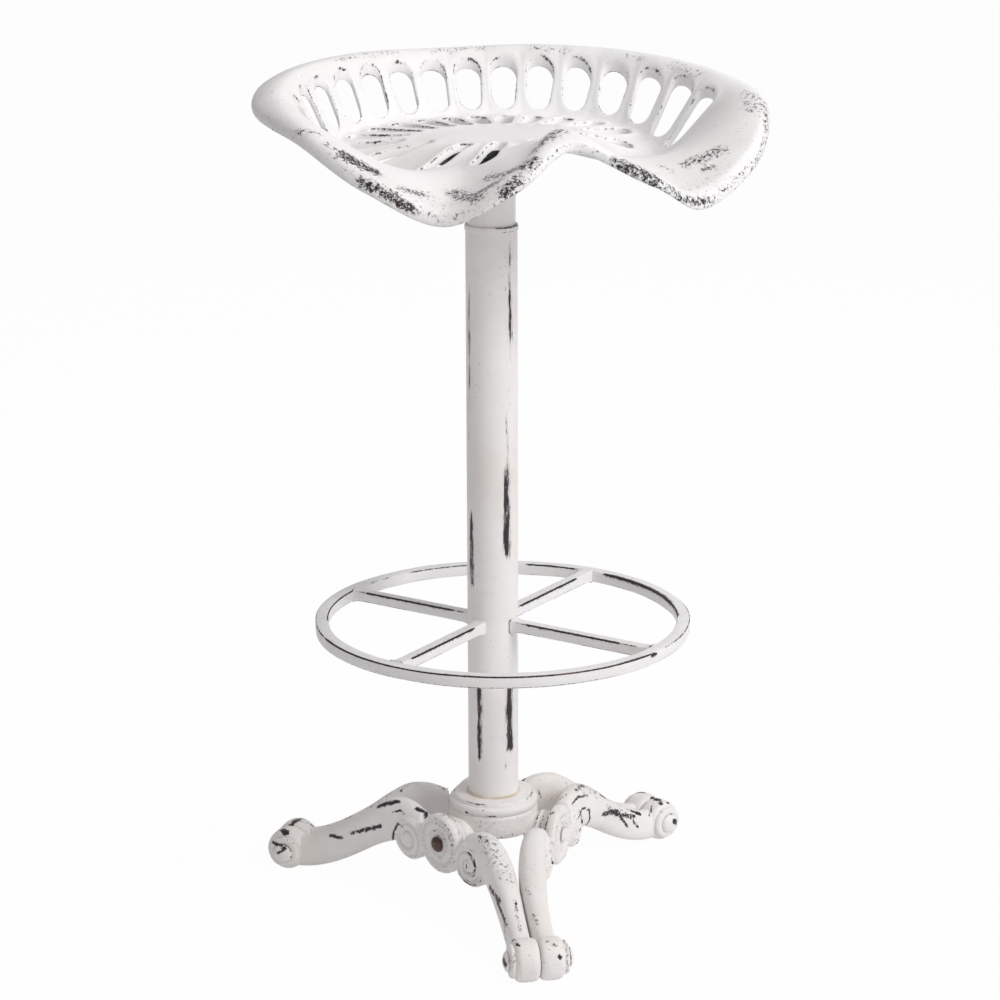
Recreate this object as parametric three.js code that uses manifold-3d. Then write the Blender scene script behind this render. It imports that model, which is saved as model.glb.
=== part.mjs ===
// Tractor seat stool.
// A slotted cast pan turns and rises on a screw inside a steel column. The column carries a square-section
// footrest hoop on four spokes and stands in a turned hub, which three scrolled castings hold off the floor.
// Millimetres, +Z up. The sitter faces -Y, turned by seatTurn.

import * as THREE from 'three';
import { mergeVertices } from 'three/addons/utils/BufferGeometryUtils.js';
import Module from 'manifold-3d';

// Placing: the column's axis from the middle of the stool's footprint, and how each group is turned
const columnPlaceX = -11.12;
const columnPlaceY = 31.26;
const seatTurn = 19.4;
const spokeTurn = 57.2;
const baseTurn = 11;

// Clearances
const fitGap = 0.3;
const slideGap = 0.35;
const holeGap = 0.3;
const cutOverrun = 4;

// Column tube and its rolled lip
const columnRadius = 22.2;
const columnWall = 1.2;
const columnTopZ = 608;
const lipProud = 0.8;
const lipHeight = 5;

// Seat pan: shares of the reach and rise round its rim, and of the hollow's depth, at angles from the back
const seatHalfWidth = 217;
const seatForward = 35.7;
const panFloorZ = 686;
const panWall = 6;
const rimRise = 60;
const rimDrop = 8;
const rimBulge = 1.6;
const hollowDepth = 20;
const hollowStartShare = 0.3;
const steepestWall = 1.7;
const rimAngles = [0, 30, 60, 90, 112, 130, 146, 162, 180];
const rimReachShares = [0.853, 0.862, 0.915, 0.978, 1, 0.982, 0.9, 0.878, 0.708];
const rimRiseShares = [0.925, 0.95, 0.892, 0.735, 0.572, 0.048, -0.387, -0.005, 0.443];
const wallAngles = [0, 60, 100, 140, 180];
const hollowShares = [0, 0.25, 1, 0.3, -0.6];
const wallStartShares = [0.642, 0.7, 0.64, 0.594, 0.589];
const crestShares = [0.862, 0.872, 0.895, 0.868, 0.866];
const floorRingShares = [0.35, 0.7, 1];
const wallRingShares = [0.3, 0.62, 1];
const rollRingShares = [0.5, 1];
const panSteps = 54;

// Slots of the pan: a row in the wall, a row in the floor, and three longer ones towards each front lobe
const slotPitch = 12.6;
const wallSlotPairs = 8;
const wallSlotStartShare = 0.21;
const wallSlotEndShare = 0.76;
const wallSlotWidthShare = 0.7;
const wallSlotRound = 6.5;
const floorSlotPairs = 6;
const floorSlotStartShare = 0.6;
const floorSlotEndShare = 0.98;
const floorSlotInnerWidth = 10;
const floorSlotOuterWidth = 16;
const lobeSlotAngles = [86, 122, 152];
const lobeSlotStarts = [62, 47, 29];
const lobeSlotEnds = [116, 110, 120];
const lobeSlotInnerWidth = 11;
const lobeSlotOuterWidth = 19;

// Mounting plate under the pan, its bosses and bolts
const plateWidth = 98;
const plateThick = 6;
const plateCorner = 12;
const plateDrop = 18;
const bossRadius = 10;
const bossSpacing = 44;
const mountBoltRadius = 4;
const mountBoltGrip = 8;
const mountHeadRadius = 7.5;
const mountHeadHeight = 5.5;
const mountWasherRadius = 8.5;
const mountWasherThick = 1.6;

// Screw lift: neck tube, screw, nut and the guide at the screw's foot
const neckWall = 1.5;
const neckInsertion = 120;
const screwRadius = 13;
const screwStudRadius = 6;
const screwChamfer = 2;
const liftNutHeight = 40;
const liftNutDrop = 190;
const riseLeft = 60;
const guideHeight = 18;
const guideWasherRadius = 12;
const guideWasherThick = 2;
const guideNutRadius = 10.5;
const guideNutHeight = 9;
const studTail = 3;

// Footrest
const hoopRadius = 165.2;
const hoopWidth = 11.5;
const hoopHeight = 10.5;
const hoopTopZ = 258.8;
const hoopShift = 8.5;
const hoopChamfer = 1;
const spokeWidth = 10.5;
const spokeHeight = 9.5;
const spokeCount = 4;

// Hub under the column
const hubTopZ = 96;
const hubCollarRadius = 37.7;
const hubDrumRadius = 42;
const hubDrumTopZ = 85;
const hubDrumBottomZ = 62;
const hubFootRadius = 33;
const hubBottomZ = 44;
const hubWebTopZ = 60;
const hubRound = 3;
const armRadius = 17;
const armRingProud = 2.4;
const armRingCount = 3;

// Bolt that ties the column to the hub
const endPlugHeight = 12;
const tieBoltRadius = 6;
const tieHeadRadius = 10.5;
const tieHeadHeight = 8;
const tieWasherRadius = 14;
const tieWasherThick = 2.5;

// Side castings
const castingCount = 3;
const castingFaceReach = 67;
const rosetteRadius = 27;
const rosetteThick = 10;
const rosetteZ = 61;
const rosetteRingRadius = 17;
const rosetteBossRadius = 9.5;
const reliefHeight = 2.5;
const scrollRadius = 20.5;
const scrollThick = 14;
const scrollZ = 53;
const scrollSpread = 42;
const scrollEyeRadius = 6;
const scrollProud = 3.5;
const rosetteBoltRadius = 4;
const rosetteBoltHeadRadius = 7;
const rosetteBoltHeadHeight = 5;
const rosetteBoltBite = 14;

// Bars from the scrolls to the feet
const barWidth = 23;
const barDepth = 40;
const barCrownZ = 64;
const barStartSpread = 32;
const barLeave = 48;
const barArrive = 52;
const barTuck = 2;
const barAlongShares = [0, 0.12, 0.25, 0.38, 0.5, 0.62, 0.74, 0.87, 1];
const barHeightShares = [0.96, 1, 0.97, 0.825, 0.645, 0.485, 0.355, 0.265, 0.25];
const barDepthShares = [0.82, 1.02, 1.08, 1.02, 0.95, 0.9, 0.83, 0.75, 0.73];
const barWidthShares = [0.8, 0.92, 1.04, 1.1, 1.02, 0.94, 0.9, 0.88, 0.86];
const barSides = 8;

// Feet: two rolls side by side at the end of each pair of bars, with a bolt through both
const footReach = 195.5;
const rollRadius = 18.5;
const rollWidth = 25.4;
const rollRound = 9;
const rollFlat = 0.8;
const footBoltRadius = 4;
const footButtonRadius = 9;
const footButtonHeight = 4.5;

// Facets
const roundSides = 32;
const hoopSides = 48;
const innerSides = 16;
const discSides = 16;
const rollSides = 12;
const boltSides = 10;
const slotSteps = 2;
const cornerSteps = 2;
const edgeSteps = 2;
const domeSteps = 2;

// Heights and radii that follow
const plateTopZ = panFloorZ - plateDrop;
const plateBottomZ = plateTopZ - plateThick;
const boreRadius = columnRadius - columnWall;
const neckRadius = boreRadius - slideGap;
const neckBottomZ = columnTopZ - neckInsertion;
const liftNutTopZ = columnTopZ - liftNutDrop;
const liftNutBottomZ = liftNutTopZ - liftNutHeight;
const guideTopZ = liftNutBottomZ - riseLeft - fitGap;
const guideBottomZ = guideTopZ - guideHeight;
const guideNutTopZ = guideBottomZ - guideWasherThick - 2 * fitGap;
const guideNutBottomZ = guideNutTopZ - guideNutHeight;
const columnBottomZ = hubWebTopZ + fitGap;
const rollZ = rollRadius - rollFlat;
const rollOffset = (rollWidth + fitGap) / 2;
const thirdTurn = 360 / castingCount;

const castPaint = new THREE.MeshStandardMaterial({ color: 0xf0eeeb, roughness: 0.55, metalness: 0.05 });
const tubePaint = new THREE.MeshStandardMaterial({ color: 0xe6e4e0, roughness: 0.5, metalness: 0.05 });
const blackSteel = new THREE.MeshStandardMaterial({ color: 0x2a2829, roughness: 0.6, metalness: 0.6 });
const brightSteel = new THREE.MeshStandardMaterial({ color: 0x9a9a9c, roughness: 0.35, metalness: 0.9 });
const rustySteel = new THREE.MeshStandardMaterial({ color: 0x54392c, roughness: 0.8, metalness: 0.4 });
const nylon = new THREE.MeshStandardMaterial({ color: 0xd8d6cc, roughness: 0.6, metalness: 0 });

const wasm = await Module();
wasm.setup();

const radians = THREE.MathUtils.degToRad;

// A closed geometry as a solid that can be joined and cut
function toSolid(geometry) {
  const plain = geometry.clone();
  plain.deleteAttribute('normal');
  plain.deleteAttribute('uv');
  const welded = mergeVertices(plain);
  const mesh = new wasm.Mesh({
    numProp: 3,
    vertProperties: new Float32Array(welded.attributes.position.array),
    triVerts: new Uint32Array(welded.index.array),
  });
  return new wasm.Manifold(mesh);
}

// The solid's own triangles as a geometry again
function toGeometry(solid) {
  const mesh = solid.getMesh();
  const geometry = new THREE.BufferGeometry();
  geometry.setAttribute('position', new THREE.BufferAttribute(new Float32Array(mesh.vertProperties), 3));
  geometry.setIndex(new THREE.BufferAttribute(new Uint32Array(mesh.triVerts), 1));
  geometry.computeVertexNormals();
  return geometry;
}

function joined(geometries) {
  let solid = toSolid(geometries[0]);
  for (const geometry of geometries.slice(1)) {
    solid = solid.add(toSolid(geometry));
  }
  return toGeometry(solid);
}

function cut(geometry, tools) {
  let solid = toSolid(geometry);
  for (const tool of tools) {
    solid = solid.subtract(toSolid(tool));
  }
  return toGeometry(solid);
}

// A body turned about Z from [radius, height] corners that run up its outside
function turned(corners, sides) {
  const profile = corners.map(([radius, height]) => new THREE.Vector2(radius, height));
  return new THREE.LatheGeometry(profile, sides).rotateX(Math.PI / 2);
}

// A ring or tube: the corners run up the outside, down the bore, and close
function turnedRing(outer, bore, bottom, top, sides) {
  return turned([[bore, bottom], [outer, bottom], [outer, top], [bore, top], [bore, bottom]], sides);
}

function rod(radius, bottom, top, sides) {
  return turned([[0, bottom], [radius, bottom], [radius, top], [0, top]], sides);
}

function hexPrism(radius, bottom, top) {
  return rod(radius, bottom, top, 6);
}

// A quarter circle of corners from angle to angle about a centre, in turned-profile coordinates
function arcCorners(centreRadius, centreHeight, radius, fromAngle, toAngle, steps) {
  const corners = [];
  for (let i = 0; i <= steps; i += 1) {
    const angle = radians(fromAngle + ((toAngle - fromAngle) * i) / steps);
    corners.push([centreRadius + radius * Math.cos(angle), centreHeight + radius * Math.sin(angle)]);
  }
  return corners;
}

function piece(name, geometry, material) {
  const mesh = new THREE.Mesh(geometry, material);
  mesh.name = name;
  return mesh;
}

// A smooth value round the seat, mirrored left to right, from shares at angles
function roundTheSeat(angles, shares, angle) {
  const turn = Math.abs(((angle + 540) % 360) - 180);
  const last = angles.length - 1;
  let i = 0;
  while (i < last - 1 && turn > angles[i + 1]) {
    i += 1;
  }
  const slope = (k) => {
    if (k === 0 || k === last) {
      return 0;
    }
    return (shares[k + 1] - shares[k - 1]) / (angles[k + 1] - angles[k - 1]);
  };
  const span = angles[i + 1] - angles[i];
  const t = (turn - angles[i]) / span;
  const start = shares[i] * (1 + 2 * t) * (1 - t) ** 2 + slope(i) * span * t * (1 - t) ** 2;
  const end = shares[i + 1] * t * t * (3 - 2 * t) + slope(i + 1) * span * t * t * (t - 1);
  return start + end;
}

const panReach = (angle) => seatHalfWidth * roundTheSeat(rimAngles, rimReachShares, angle);
const wallStart = (angle) => roundTheSeat(wallAngles, wallStartShares, angle);
const crest = (angle) => roundTheSeat(wallAngles, crestShares, angle);

// A smooth step from 0 to 1
function smooth(value) {
  const t = THREE.MathUtils.clamp(value, 0, 1);
  return t * t * (3 - 2 * t);
}

// Height of the pan's top at a share of the way from its centre to the rim: a floor that sinks into a hollow
// on each side and lifts towards the pommel, a wall that rises or falls in an S to the crest, and a rim that
// rolls over and down
function panTopZ(angle, share) {
  const foot = wallStart(angle);
  const top = crest(angle);
  const sink = hollowDepth * roundTheSeat(wallAngles, hollowShares, angle);
  const rise = rimRise * roundTheSeat(rimAngles, rimRiseShares, angle);
  const roll = Math.max(0, (share - top) / (1 - top));
  const wall = smooth((share - foot) / (top - foot));
  const floor = smooth((share - hollowStartShare) / (foot - hollowStartShare));
  return panFloorZ - sink * floor + (rise + sink) * wall - rimDrop * roll * roll;
}

// The wall keeps its thickness square to the surface, so it is deeper where the surface is steep
function panBottomZ(angle, share) {
  const stepShare = 0.01;
  const run = 2 * stepShare * panReach(angle);
  const fall = panTopZ(angle, share + stepShare) - panTopZ(angle, share - stepShare);
  const slope = Math.min(steepestWall, Math.abs(fall / run));
  return panTopZ(angle, share) - panWall * Math.sqrt(1 + slope * slope);
}

// The pan's rings, as shares of the reach at an angle: over the floor, up the wall and over the roll
function panRings(angle) {
  const foot = wallStart(angle);
  const top = crest(angle);
  return [
    ...floorRingShares.map((share) => share * foot),
    ...wallRingShares.map((share) => foot + share * (top - foot)),
    ...rollRingShares.map((share) => top + share * (1 - top)),
  ];
}

function panPoint(angle, share, height, proud) {
  const reach = panReach(angle) * share + proud;
  const turn = radians(angle);
  return [reach * Math.sin(turn), reach * Math.cos(turn), height];
}

// The closed pan without its slots: rings of the top, one round the rim's edge, rings of the underside
function panBlank() {
  const points = [[0, 0, panTopZ(0, 0)]];
  const rings = panRings(0).length;
  const addRing = (place) => {
    for (let i = 0; i < panSteps; i += 1) {
      points.push(place((360 * i) / panSteps));
    }
  };
  for (let ring = 0; ring < rings; ring += 1) {
    addRing((angle) => {
      const share = panRings(angle)[ring];
      return panPoint(angle, share, panTopZ(angle, share), 0);
    });
  }
  addRing((angle) => panPoint(angle, 1, (panTopZ(angle, 1) + panBottomZ(angle, 1)) / 2, rimBulge));
  for (let ring = rings - 1; ring >= 0; ring -= 1) {
    addRing((angle) => {
      const share = panRings(angle)[ring];
      return panPoint(angle, share, panBottomZ(angle, share), 0);
    });
  }
  points.push([0, 0, panBottomZ(0, 0)]);
  const faces = [];
  const at = (ring, i) => 1 + ring * panSteps + (i % panSteps);
  const lastRing = 2 * rings;
  for (let i = 0; i < panSteps; i += 1) {
    faces.push(0, at(0, i + 1), at(0, i));
    for (let ring = 0; ring < lastRing; ring += 1) {
      faces.push(at(ring, i), at(ring, i + 1), at(ring + 1, i + 1));
      faces.push(at(ring, i), at(ring + 1, i + 1), at(ring + 1, i));
    }
    faces.push(points.length - 1, at(lastRing, i), at(lastRing, i + 1));
  }
  const geometry = new THREE.BufferGeometry();
  geometry.setAttribute('position', new THREE.Float32BufferAttribute(points.flat(), 3));
  geometry.setIndex(faces);
  return geometry;
}

// A slot with round ends, cut straight down as the casting draws from its mould. On the steep wall a short
// end stretches out to a round one.
function slotTool(angle, start, end, innerWidth, outerWidth, innerRound, outerRound) {
  const quarter = Math.PI / 2;
  const outline = new THREE.Shape();
  outline.absellipse(end - outerRound, 0, outerRound, outerWidth / 2, -quarter, quarter, false, 0);
  outline.absellipse(start + innerRound, 0, innerRound, innerWidth / 2, quarter, 3 * quarter, false, 0);
  outline.closePath();
  const low = panFloorZ - rimRise - cutOverrun;
  const depth = 2 * rimRise + 2 * cutOverrun;
  const tool = new THREE.ExtrudeGeometry(outline, { depth, bevelEnabled: false, curveSegments: slotSteps });
  return tool.rotateZ(quarter - radians(angle)).translate(0, 0, low);
}

function wallSlot(angle) {
  const reach = panReach(angle);
  const foot = wallStart(angle);
  const run = crest(angle) - foot;
  const start = reach * (foot + run * wallSlotStartShare);
  const end = reach * (foot + run * wallSlotEndShare);
  const spread = 2 * Math.tan(radians(slotPitch / 2)) * wallSlotWidthShare;
  return slotTool(angle, start, end, start * spread, end * spread, wallSlotRound, wallSlotRound);
}

function floorSlot(angle) {
  const foot = panReach(angle) * wallStart(angle);
  const start = foot * floorSlotStartShare;
  const end = foot * floorSlotEndShare;
  const innerRound = floorSlotInnerWidth / 2;
  return slotTool(angle, start, end, floorSlotInnerWidth, floorSlotOuterWidth, innerRound, floorSlotOuterWidth / 2);
}

function lobeSlot(angle, i) {
  const innerRound = lobeSlotInnerWidth / 2;
  const outerRound = lobeSlotOuterWidth / 2;
  const [start, end] = [lobeSlotStarts[i], lobeSlotEnds[i]];
  return slotTool(angle, start, end, lobeSlotInnerWidth, lobeSlotOuterWidth, innerRound, outerRound);
}

function slotTools() {
  const tools = [];
  for (const side of [-1, 1]) {
    for (let k = 0; k < wallSlotPairs; k += 1) {
      tools.push(wallSlot(side * slotPitch * (k + 0.5)));
    }
    for (let k = 0; k < floorSlotPairs; k += 1) {
      tools.push(floorSlot(side * slotPitch * (k + 0.5)));
    }
    lobeSlotAngles.forEach((turn, i) => tools.push(lobeSlot(side * turn, i)));
  }
  return tools;
}

// The four mounting bolts stand square about the column's axis
function mountPlaces() {
  const half = bossSpacing / 2;
  return [[-half, -half], [half, -half], [half, half], [-half, half]];
}

// The pan in the seat's own frame, with the column's axis at the origin
function seatPan() {
  const bossBottom = plateTopZ + fitGap;
  const bossTop = panFloorZ - panWall / 2;
  const holeTop = plateTopZ + mountBoltGrip + fitGap;
  let solid = toSolid(panBlank().translate(0, -seatForward, 0));
  for (const [x, y] of mountPlaces()) {
    solid = solid.add(toSolid(rod(bossRadius, bossBottom, bossTop, discSides).translate(x, y, 0)));
  }
  for (const [x, y] of mountPlaces()) {
    const hole = rod(mountBoltRadius + holeGap, bossBottom - cutOverrun, holeTop, boltSides);
    solid = solid.subtract(toSolid(hole.translate(x, y, 0)));
  }
  for (const tool of slotTools()) {
    solid = solid.subtract(toSolid(tool.translate(0, -seatForward, 0)));
  }
  return toGeometry(solid);
}

function mountPlate() {
  const half = plateWidth / 2;
  const inner = half - plateCorner;
  const outline = new THREE.Shape();
  outline.absarc(inner, inner, plateCorner, 0, Math.PI / 2, false);
  outline.absarc(-inner, inner, plateCorner, Math.PI / 2, Math.PI, false);
  outline.absarc(-inner, -inner, plateCorner, Math.PI, (3 * Math.PI) / 2, false);
  outline.absarc(inner, -inner, plateCorner, (3 * Math.PI) / 2, 2 * Math.PI, false);
  const options = { depth: plateThick, bevelEnabled: false, curveSegments: cornerSteps };
  const plate = new THREE.ExtrudeGeometry(outline, options).translate(0, 0, plateBottomZ);
  const hole = rod(mountBoltRadius + holeGap, plateBottomZ - cutOverrun, plateTopZ + cutOverrun, boltSides);
  return cut(plate, mountPlaces().map(([x, y]) => hole.clone().translate(x, y, 0)));
}

function mountBolt() {
  const headTop = plateBottomZ - mountWasherThick - 2 * fitGap;
  const shankTop = plateTopZ + mountBoltGrip;
  const head = hexPrism(mountHeadRadius, headTop - mountHeadHeight, headTop);
  const shank = rod(mountBoltRadius, headTop - mountHeadHeight / 2, shankTop, boltSides);
  return joined([head, shank]);
}

function mountWasher() {
  const top = plateBottomZ - fitGap;
  return turnedRing(mountWasherRadius, mountBoltRadius + holeGap, top - mountWasherThick, top, boltSides);
}

function liftScrew() {
  const top = plateBottomZ - fitGap;
  const shoulder = guideTopZ + fitGap;
  const tail = guideNutBottomZ - studTail;
  return turned([
    [0, tail],
    [screwStudRadius, tail],
    [screwStudRadius, shoulder],
    [screwRadius - screwChamfer, shoulder],
    [screwRadius, shoulder + screwChamfer],
    [screwRadius, top],
    [0, top],
  ], discSides);
}

function seatGroup() {
  const seat = new THREE.Group();
  seat.rotation.z = radians(seatTurn);
  seat.add(piece('seat_pan', seatPan(), castPaint));
  seat.add(piece('seat_mount_plate', mountPlate(), blackSteel));
  mountPlaces().forEach(([x, y], i) => {
    const bolt = piece(`seat_bolt_${i + 1}`, mountBolt(), blackSteel);
    bolt.position.set(x, y, 0);
    const washer = piece(`seat_washer_${i + 1}`, mountWasher(), blackSteel);
    washer.position.set(x, y, 0);
    seat.add(bolt, washer);
  });
  const neckTop = plateBottomZ - fitGap;
  const neck = turnedRing(neckRadius, neckRadius - neckWall, neckBottomZ, neckTop, roundSides);
  seat.add(piece('neck_tube', neck, tubePaint));
  seat.add(piece('lift_screw', liftScrew(), brightSteel));
  const washerTop = guideBottomZ - fitGap;
  const washerBottom = washerTop - guideWasherThick;
  const stud = screwStudRadius + holeGap;
  const washer = turnedRing(guideWasherRadius, stud, washerBottom, washerTop, discSides);
  seat.add(piece('guide_washer', washer, brightSteel));
  const nut = cut(hexPrism(guideNutRadius, guideNutBottomZ, guideNutTopZ), [
    rod(stud, guideNutBottomZ - cutOverrun, guideNutTopZ + cutOverrun, discSides),
  ]);
  seat.add(piece('guide_nut', nut, brightSteel));
  return seat;
}

function columnTube() {
  const lipBottom = columnTopZ - lipHeight;
  const lipRadius = columnRadius + lipProud;
  return turned([
    [boreRadius, columnBottomZ],
    [columnRadius, columnBottomZ],
    [columnRadius, lipBottom],
    [lipRadius, lipBottom + lipProud],
    [lipRadius, columnTopZ - lipProud],
    [columnRadius, columnTopZ],
    [boreRadius, columnTopZ],
    [boreRadius, columnBottomZ],
  ], roundSides);
}

function columnGroup() {
  const column = new THREE.Group();
  column.add(piece('column_tube', columnTube(), tubePaint));
  const nutRadius = boreRadius - fitGap;
  const nutBore = screwRadius + slideGap;
  const nut = turnedRing(nutRadius, nutBore, liftNutBottomZ, liftNutTopZ, innerSides);
  column.add(piece('lift_nut', nut, brightSteel));
  const guideRadius = boreRadius - slideGap;
  const guideBore = screwStudRadius + slideGap;
  const guide = turnedRing(guideRadius, guideBore, guideBottomZ, guideTopZ, innerSides);
  column.add(piece('screw_guide', guide, nylon));
  const plugTop = columnBottomZ + endPlugHeight;
  const plug = turnedRing(nutRadius, tieBoltRadius + holeGap, columnBottomZ, plugTop, innerSides);
  column.add(piece('column_end_plug', plug, brightSteel));
  const washerTop = hubBottomZ - fitGap;
  const washerBottom = washerTop - tieWasherThick;
  const washer = turnedRing(tieWasherRadius, tieBoltRadius + holeGap, washerBottom, washerTop, discSides);
  column.add(piece('tie_washer', washer, blackSteel));
  const headTop = washerBottom - fitGap;
  const head = hexPrism(tieHeadRadius, headTop - tieHeadHeight, headTop);
  const shank = rod(tieBoltRadius, headTop - tieHeadHeight / 2, plugTop, boltSides);
  column.add(piece('tie_bolt', joined([head, shank]), blackSteel));
  return column;
}

// The hoop is welded a little off the column's axis, so the spokes differ in length
function footrestHoop() {
  const inner = hoopRadius - hoopWidth;
  const bottom = hoopTopZ - hoopHeight;
  const hoop = turned([
    [inner + hoopChamfer, bottom],
    [hoopRadius - hoopChamfer, bottom],
    [hoopRadius, bottom + hoopChamfer],
    [hoopRadius, hoopTopZ - hoopChamfer],
    [hoopRadius - hoopChamfer, hoopTopZ],
    [inner + hoopChamfer, hoopTopZ],
    [inner, hoopTopZ - hoopChamfer],
    [inner, bottom + hoopChamfer],
    [inner + hoopChamfer, bottom],
  ], hoopSides);
  return hoop.translate(hoopShift, 0, 0);
}

function footrestSpoke(angle) {
  const middleZ = hoopTopZ - hoopHeight / 2;
  const low = middleZ - spokeHeight;
  const high = middleZ + spokeHeight;
  const bar = new THREE.BoxGeometry(hoopRadius, spokeWidth, spokeHeight);
  bar.translate(hoopRadius / 2, 0, middleZ).rotateZ(radians(angle));
  const inside = rod(hoopRadius - hoopWidth - fitGap, low, high, hoopSides).translate(hoopShift, 0, 0);
  const column = rod(columnRadius + fitGap, low, high, roundSides);
  return toGeometry(toSolid(bar).intersect(toSolid(inside)).subtract(toSolid(column)));
}

function footrestGroup() {
  const footrest = new THREE.Group();
  footrest.add(piece('footrest_hoop', footrestHoop(), castPaint));
  for (let k = 0; k < spokeCount; k += 1) {
    const angle = spokeTurn + (360 / spokeCount) * k;
    footrest.add(piece(`footrest_spoke_${k + 1}`, footrestSpoke(angle), castPaint));
  }
  return footrest;
}

// Lays a body turned about Z along +X
const alongX = (geometry) => geometry.rotateY(Math.PI / 2);

// Hub: a stepped drum with three ringed arms that the rosettes seat on
function baseHub() {
  const drum = turned([
    [0, hubBottomZ],
    [hubFootRadius, hubBottomZ],
    [hubDrumRadius, hubDrumBottomZ],
    ...arcCorners(hubDrumRadius - hubRound, hubDrumTopZ - hubRound, hubRound, 0, 90, edgeSteps),
    [hubCollarRadius, hubDrumTopZ],
    ...arcCorners(hubCollarRadius - hubRound, hubTopZ - hubRound, hubRound, 0, 90, edgeSteps),
    [0, hubTopZ],
  ], roundSides);
  const armEnd = castingFaceReach - rosetteThick - fitGap;
  const ringPitch = (armEnd - hubDrumRadius + hubRound) / armRingCount;
  const corners = [[0, 0], [armRadius, 0]];
  for (let k = armRingCount; k > 0; k -= 1) {
    const middle = armEnd - ringPitch * (k - 0.5);
    corners.push([armRadius, middle - ringPitch / 2]);
    corners.push([armRadius + armRingProud, middle]);
  }
  corners.push([armRadius, armEnd], [0, armEnd]);
  const holeEnd = armEnd - rosetteBoltBite - holeGap;
  const boltHole = rod(rosetteBoltRadius + holeGap, holeEnd, armEnd + cutOverrun, boltSides);
  let solid = toSolid(drum);
  for (let k = 0; k < castingCount; k += 1) {
    const arm = alongX(turned(corners, rollSides)).translate(0, 0, rosetteZ);
    solid = solid.add(toSolid(arm.rotateZ(castingAngle(k))));
  }
  for (let k = 0; k < castingCount; k += 1) {
    const hole = alongX(boltHole.clone()).translate(0, 0, rosetteZ);
    solid = solid.subtract(toSolid(hole.rotateZ(castingAngle(k))));
  }
  const socket = rod(columnRadius + fitGap, hubWebTopZ, hubTopZ + cutOverrun, roundSides);
  const tieHole = rod(tieBoltRadius + holeGap, hubBottomZ - cutOverrun, hubWebTopZ + cutOverrun, discSides);
  return toGeometry(solid.subtract(toSolid(socket)).subtract(toSolid(tieHole)));
}

// The castings face between the feet, of which the first stands towards -Y
function castingAngle(k) {
  return radians(-90 - thirdTurn / 2 + thirdTurn * k);
}

function footAngle(k) {
  return radians(-90 + thirdTurn * k);
}

// Rosette: a disc with a raised rim, a ring and a boss round its bolt
function rosetteDisc() {
  const face = castingFaceReach - reliefHeight;
  const back = castingFaceReach - rosetteThick;
  const rim = reliefHeight * 2;
  return alongX(turned([
    [0, back],
    [rosetteRadius, back],
    [rosetteRadius, face],
    [rosetteRadius - rim / 2, castingFaceReach],
    [rosetteRadius - rim, face],
    [rosetteRingRadius + rim / 2, face],
    [rosetteRingRadius, castingFaceReach],
    [rosetteRingRadius - rim / 2, face],
    [rosetteBossRadius + reliefHeight, face],
    [rosetteBossRadius, castingFaceReach],
    [0, castingFaceReach],
  ], discSides)).translate(0, 0, rosetteZ);
}

// Scroll: a disc with a raised rim and eye
function scrollDisc(side) {
  const face = castingFaceReach - reliefHeight;
  const back = castingFaceReach - scrollThick;
  const rim = reliefHeight * 2;
  return alongX(turned([
    [0, back],
    [scrollRadius, back],
    [scrollRadius, face],
    [scrollRadius - rim / 2, castingFaceReach],
    [scrollRadius - rim, face],
    [scrollEyeRadius + reliefHeight, face],
    [scrollEyeRadius, castingFaceReach],
    [0, castingFaceReach],
  ], rollSides)).translate(0, side * scrollSpread, scrollZ);
}

// Where a foot's rolls stand, seen from the casting: the foot's reach and the sideways step to the roll
function rollPlace(side) {
  const half = radians(thirdTurn / 2);
  const outward = new THREE.Vector2(Math.cos(half), side * Math.sin(half));
  const inward = new THREE.Vector2(Math.sin(half), -side * Math.cos(half));
  const centre = outward.clone().multiplyScalar(footReach).addScaledVector(inward, rollOffset);
  return { outward, inward, centre };
}

// Bar: a rounded section along a plan curve from scroll to foot, over a crown and then down. At the foot it
// lies a little nearer to its neighbour than its roll does.
function footBar(side) {
  const { outward, inward, centre } = rollPlace(side);
  centre.addScaledVector(inward, -barTuck);
  const startHalfWidth = (barWidth * barWidthShares[0]) / 2;
  const start = new THREE.Vector2(castingFaceReach - scrollProud - startHalfWidth, side * barStartSpread);
  const leave = start.clone().add(new THREE.Vector2(0, side * barLeave));
  const arrive = centre.clone().addScaledVector(outward, -barArrive);
  const plan = new THREE.CubicBezierCurve(start, leave, arrive, centre);
  const points = [];
  barAlongShares.forEach((along, i) => {
    const middle = plan.getPointAt(along);
    const ahead = plan.getTangentAt(along);
    const across = new THREE.Vector2(ahead.y, -ahead.x).multiplyScalar(side);
    const halfWidth = (barWidth * barWidthShares[i]) / 2;
    const halfDepth = (barDepth * barDepthShares[i]) / 2;
    const height = barCrownZ * barHeightShares[i];
    for (let j = 0; j < barSides; j += 1) {
      const turn = (2 * Math.PI * (j + 0.5)) / barSides;
      const sideways = Math.sign(Math.cos(turn)) * Math.abs(Math.cos(turn)) ** 0.7;
      const upward = Math.sign(Math.sin(turn)) * Math.abs(Math.sin(turn)) ** 0.7;
      const place = middle.clone().addScaledVector(across, halfWidth * sideways);
      points.push([place.x, place.y, Math.max(height + halfDepth * upward, 0)]);
    }
  });
  return loftGeometry(points, barSides, barAlongShares.length, side > 0);
}

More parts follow.
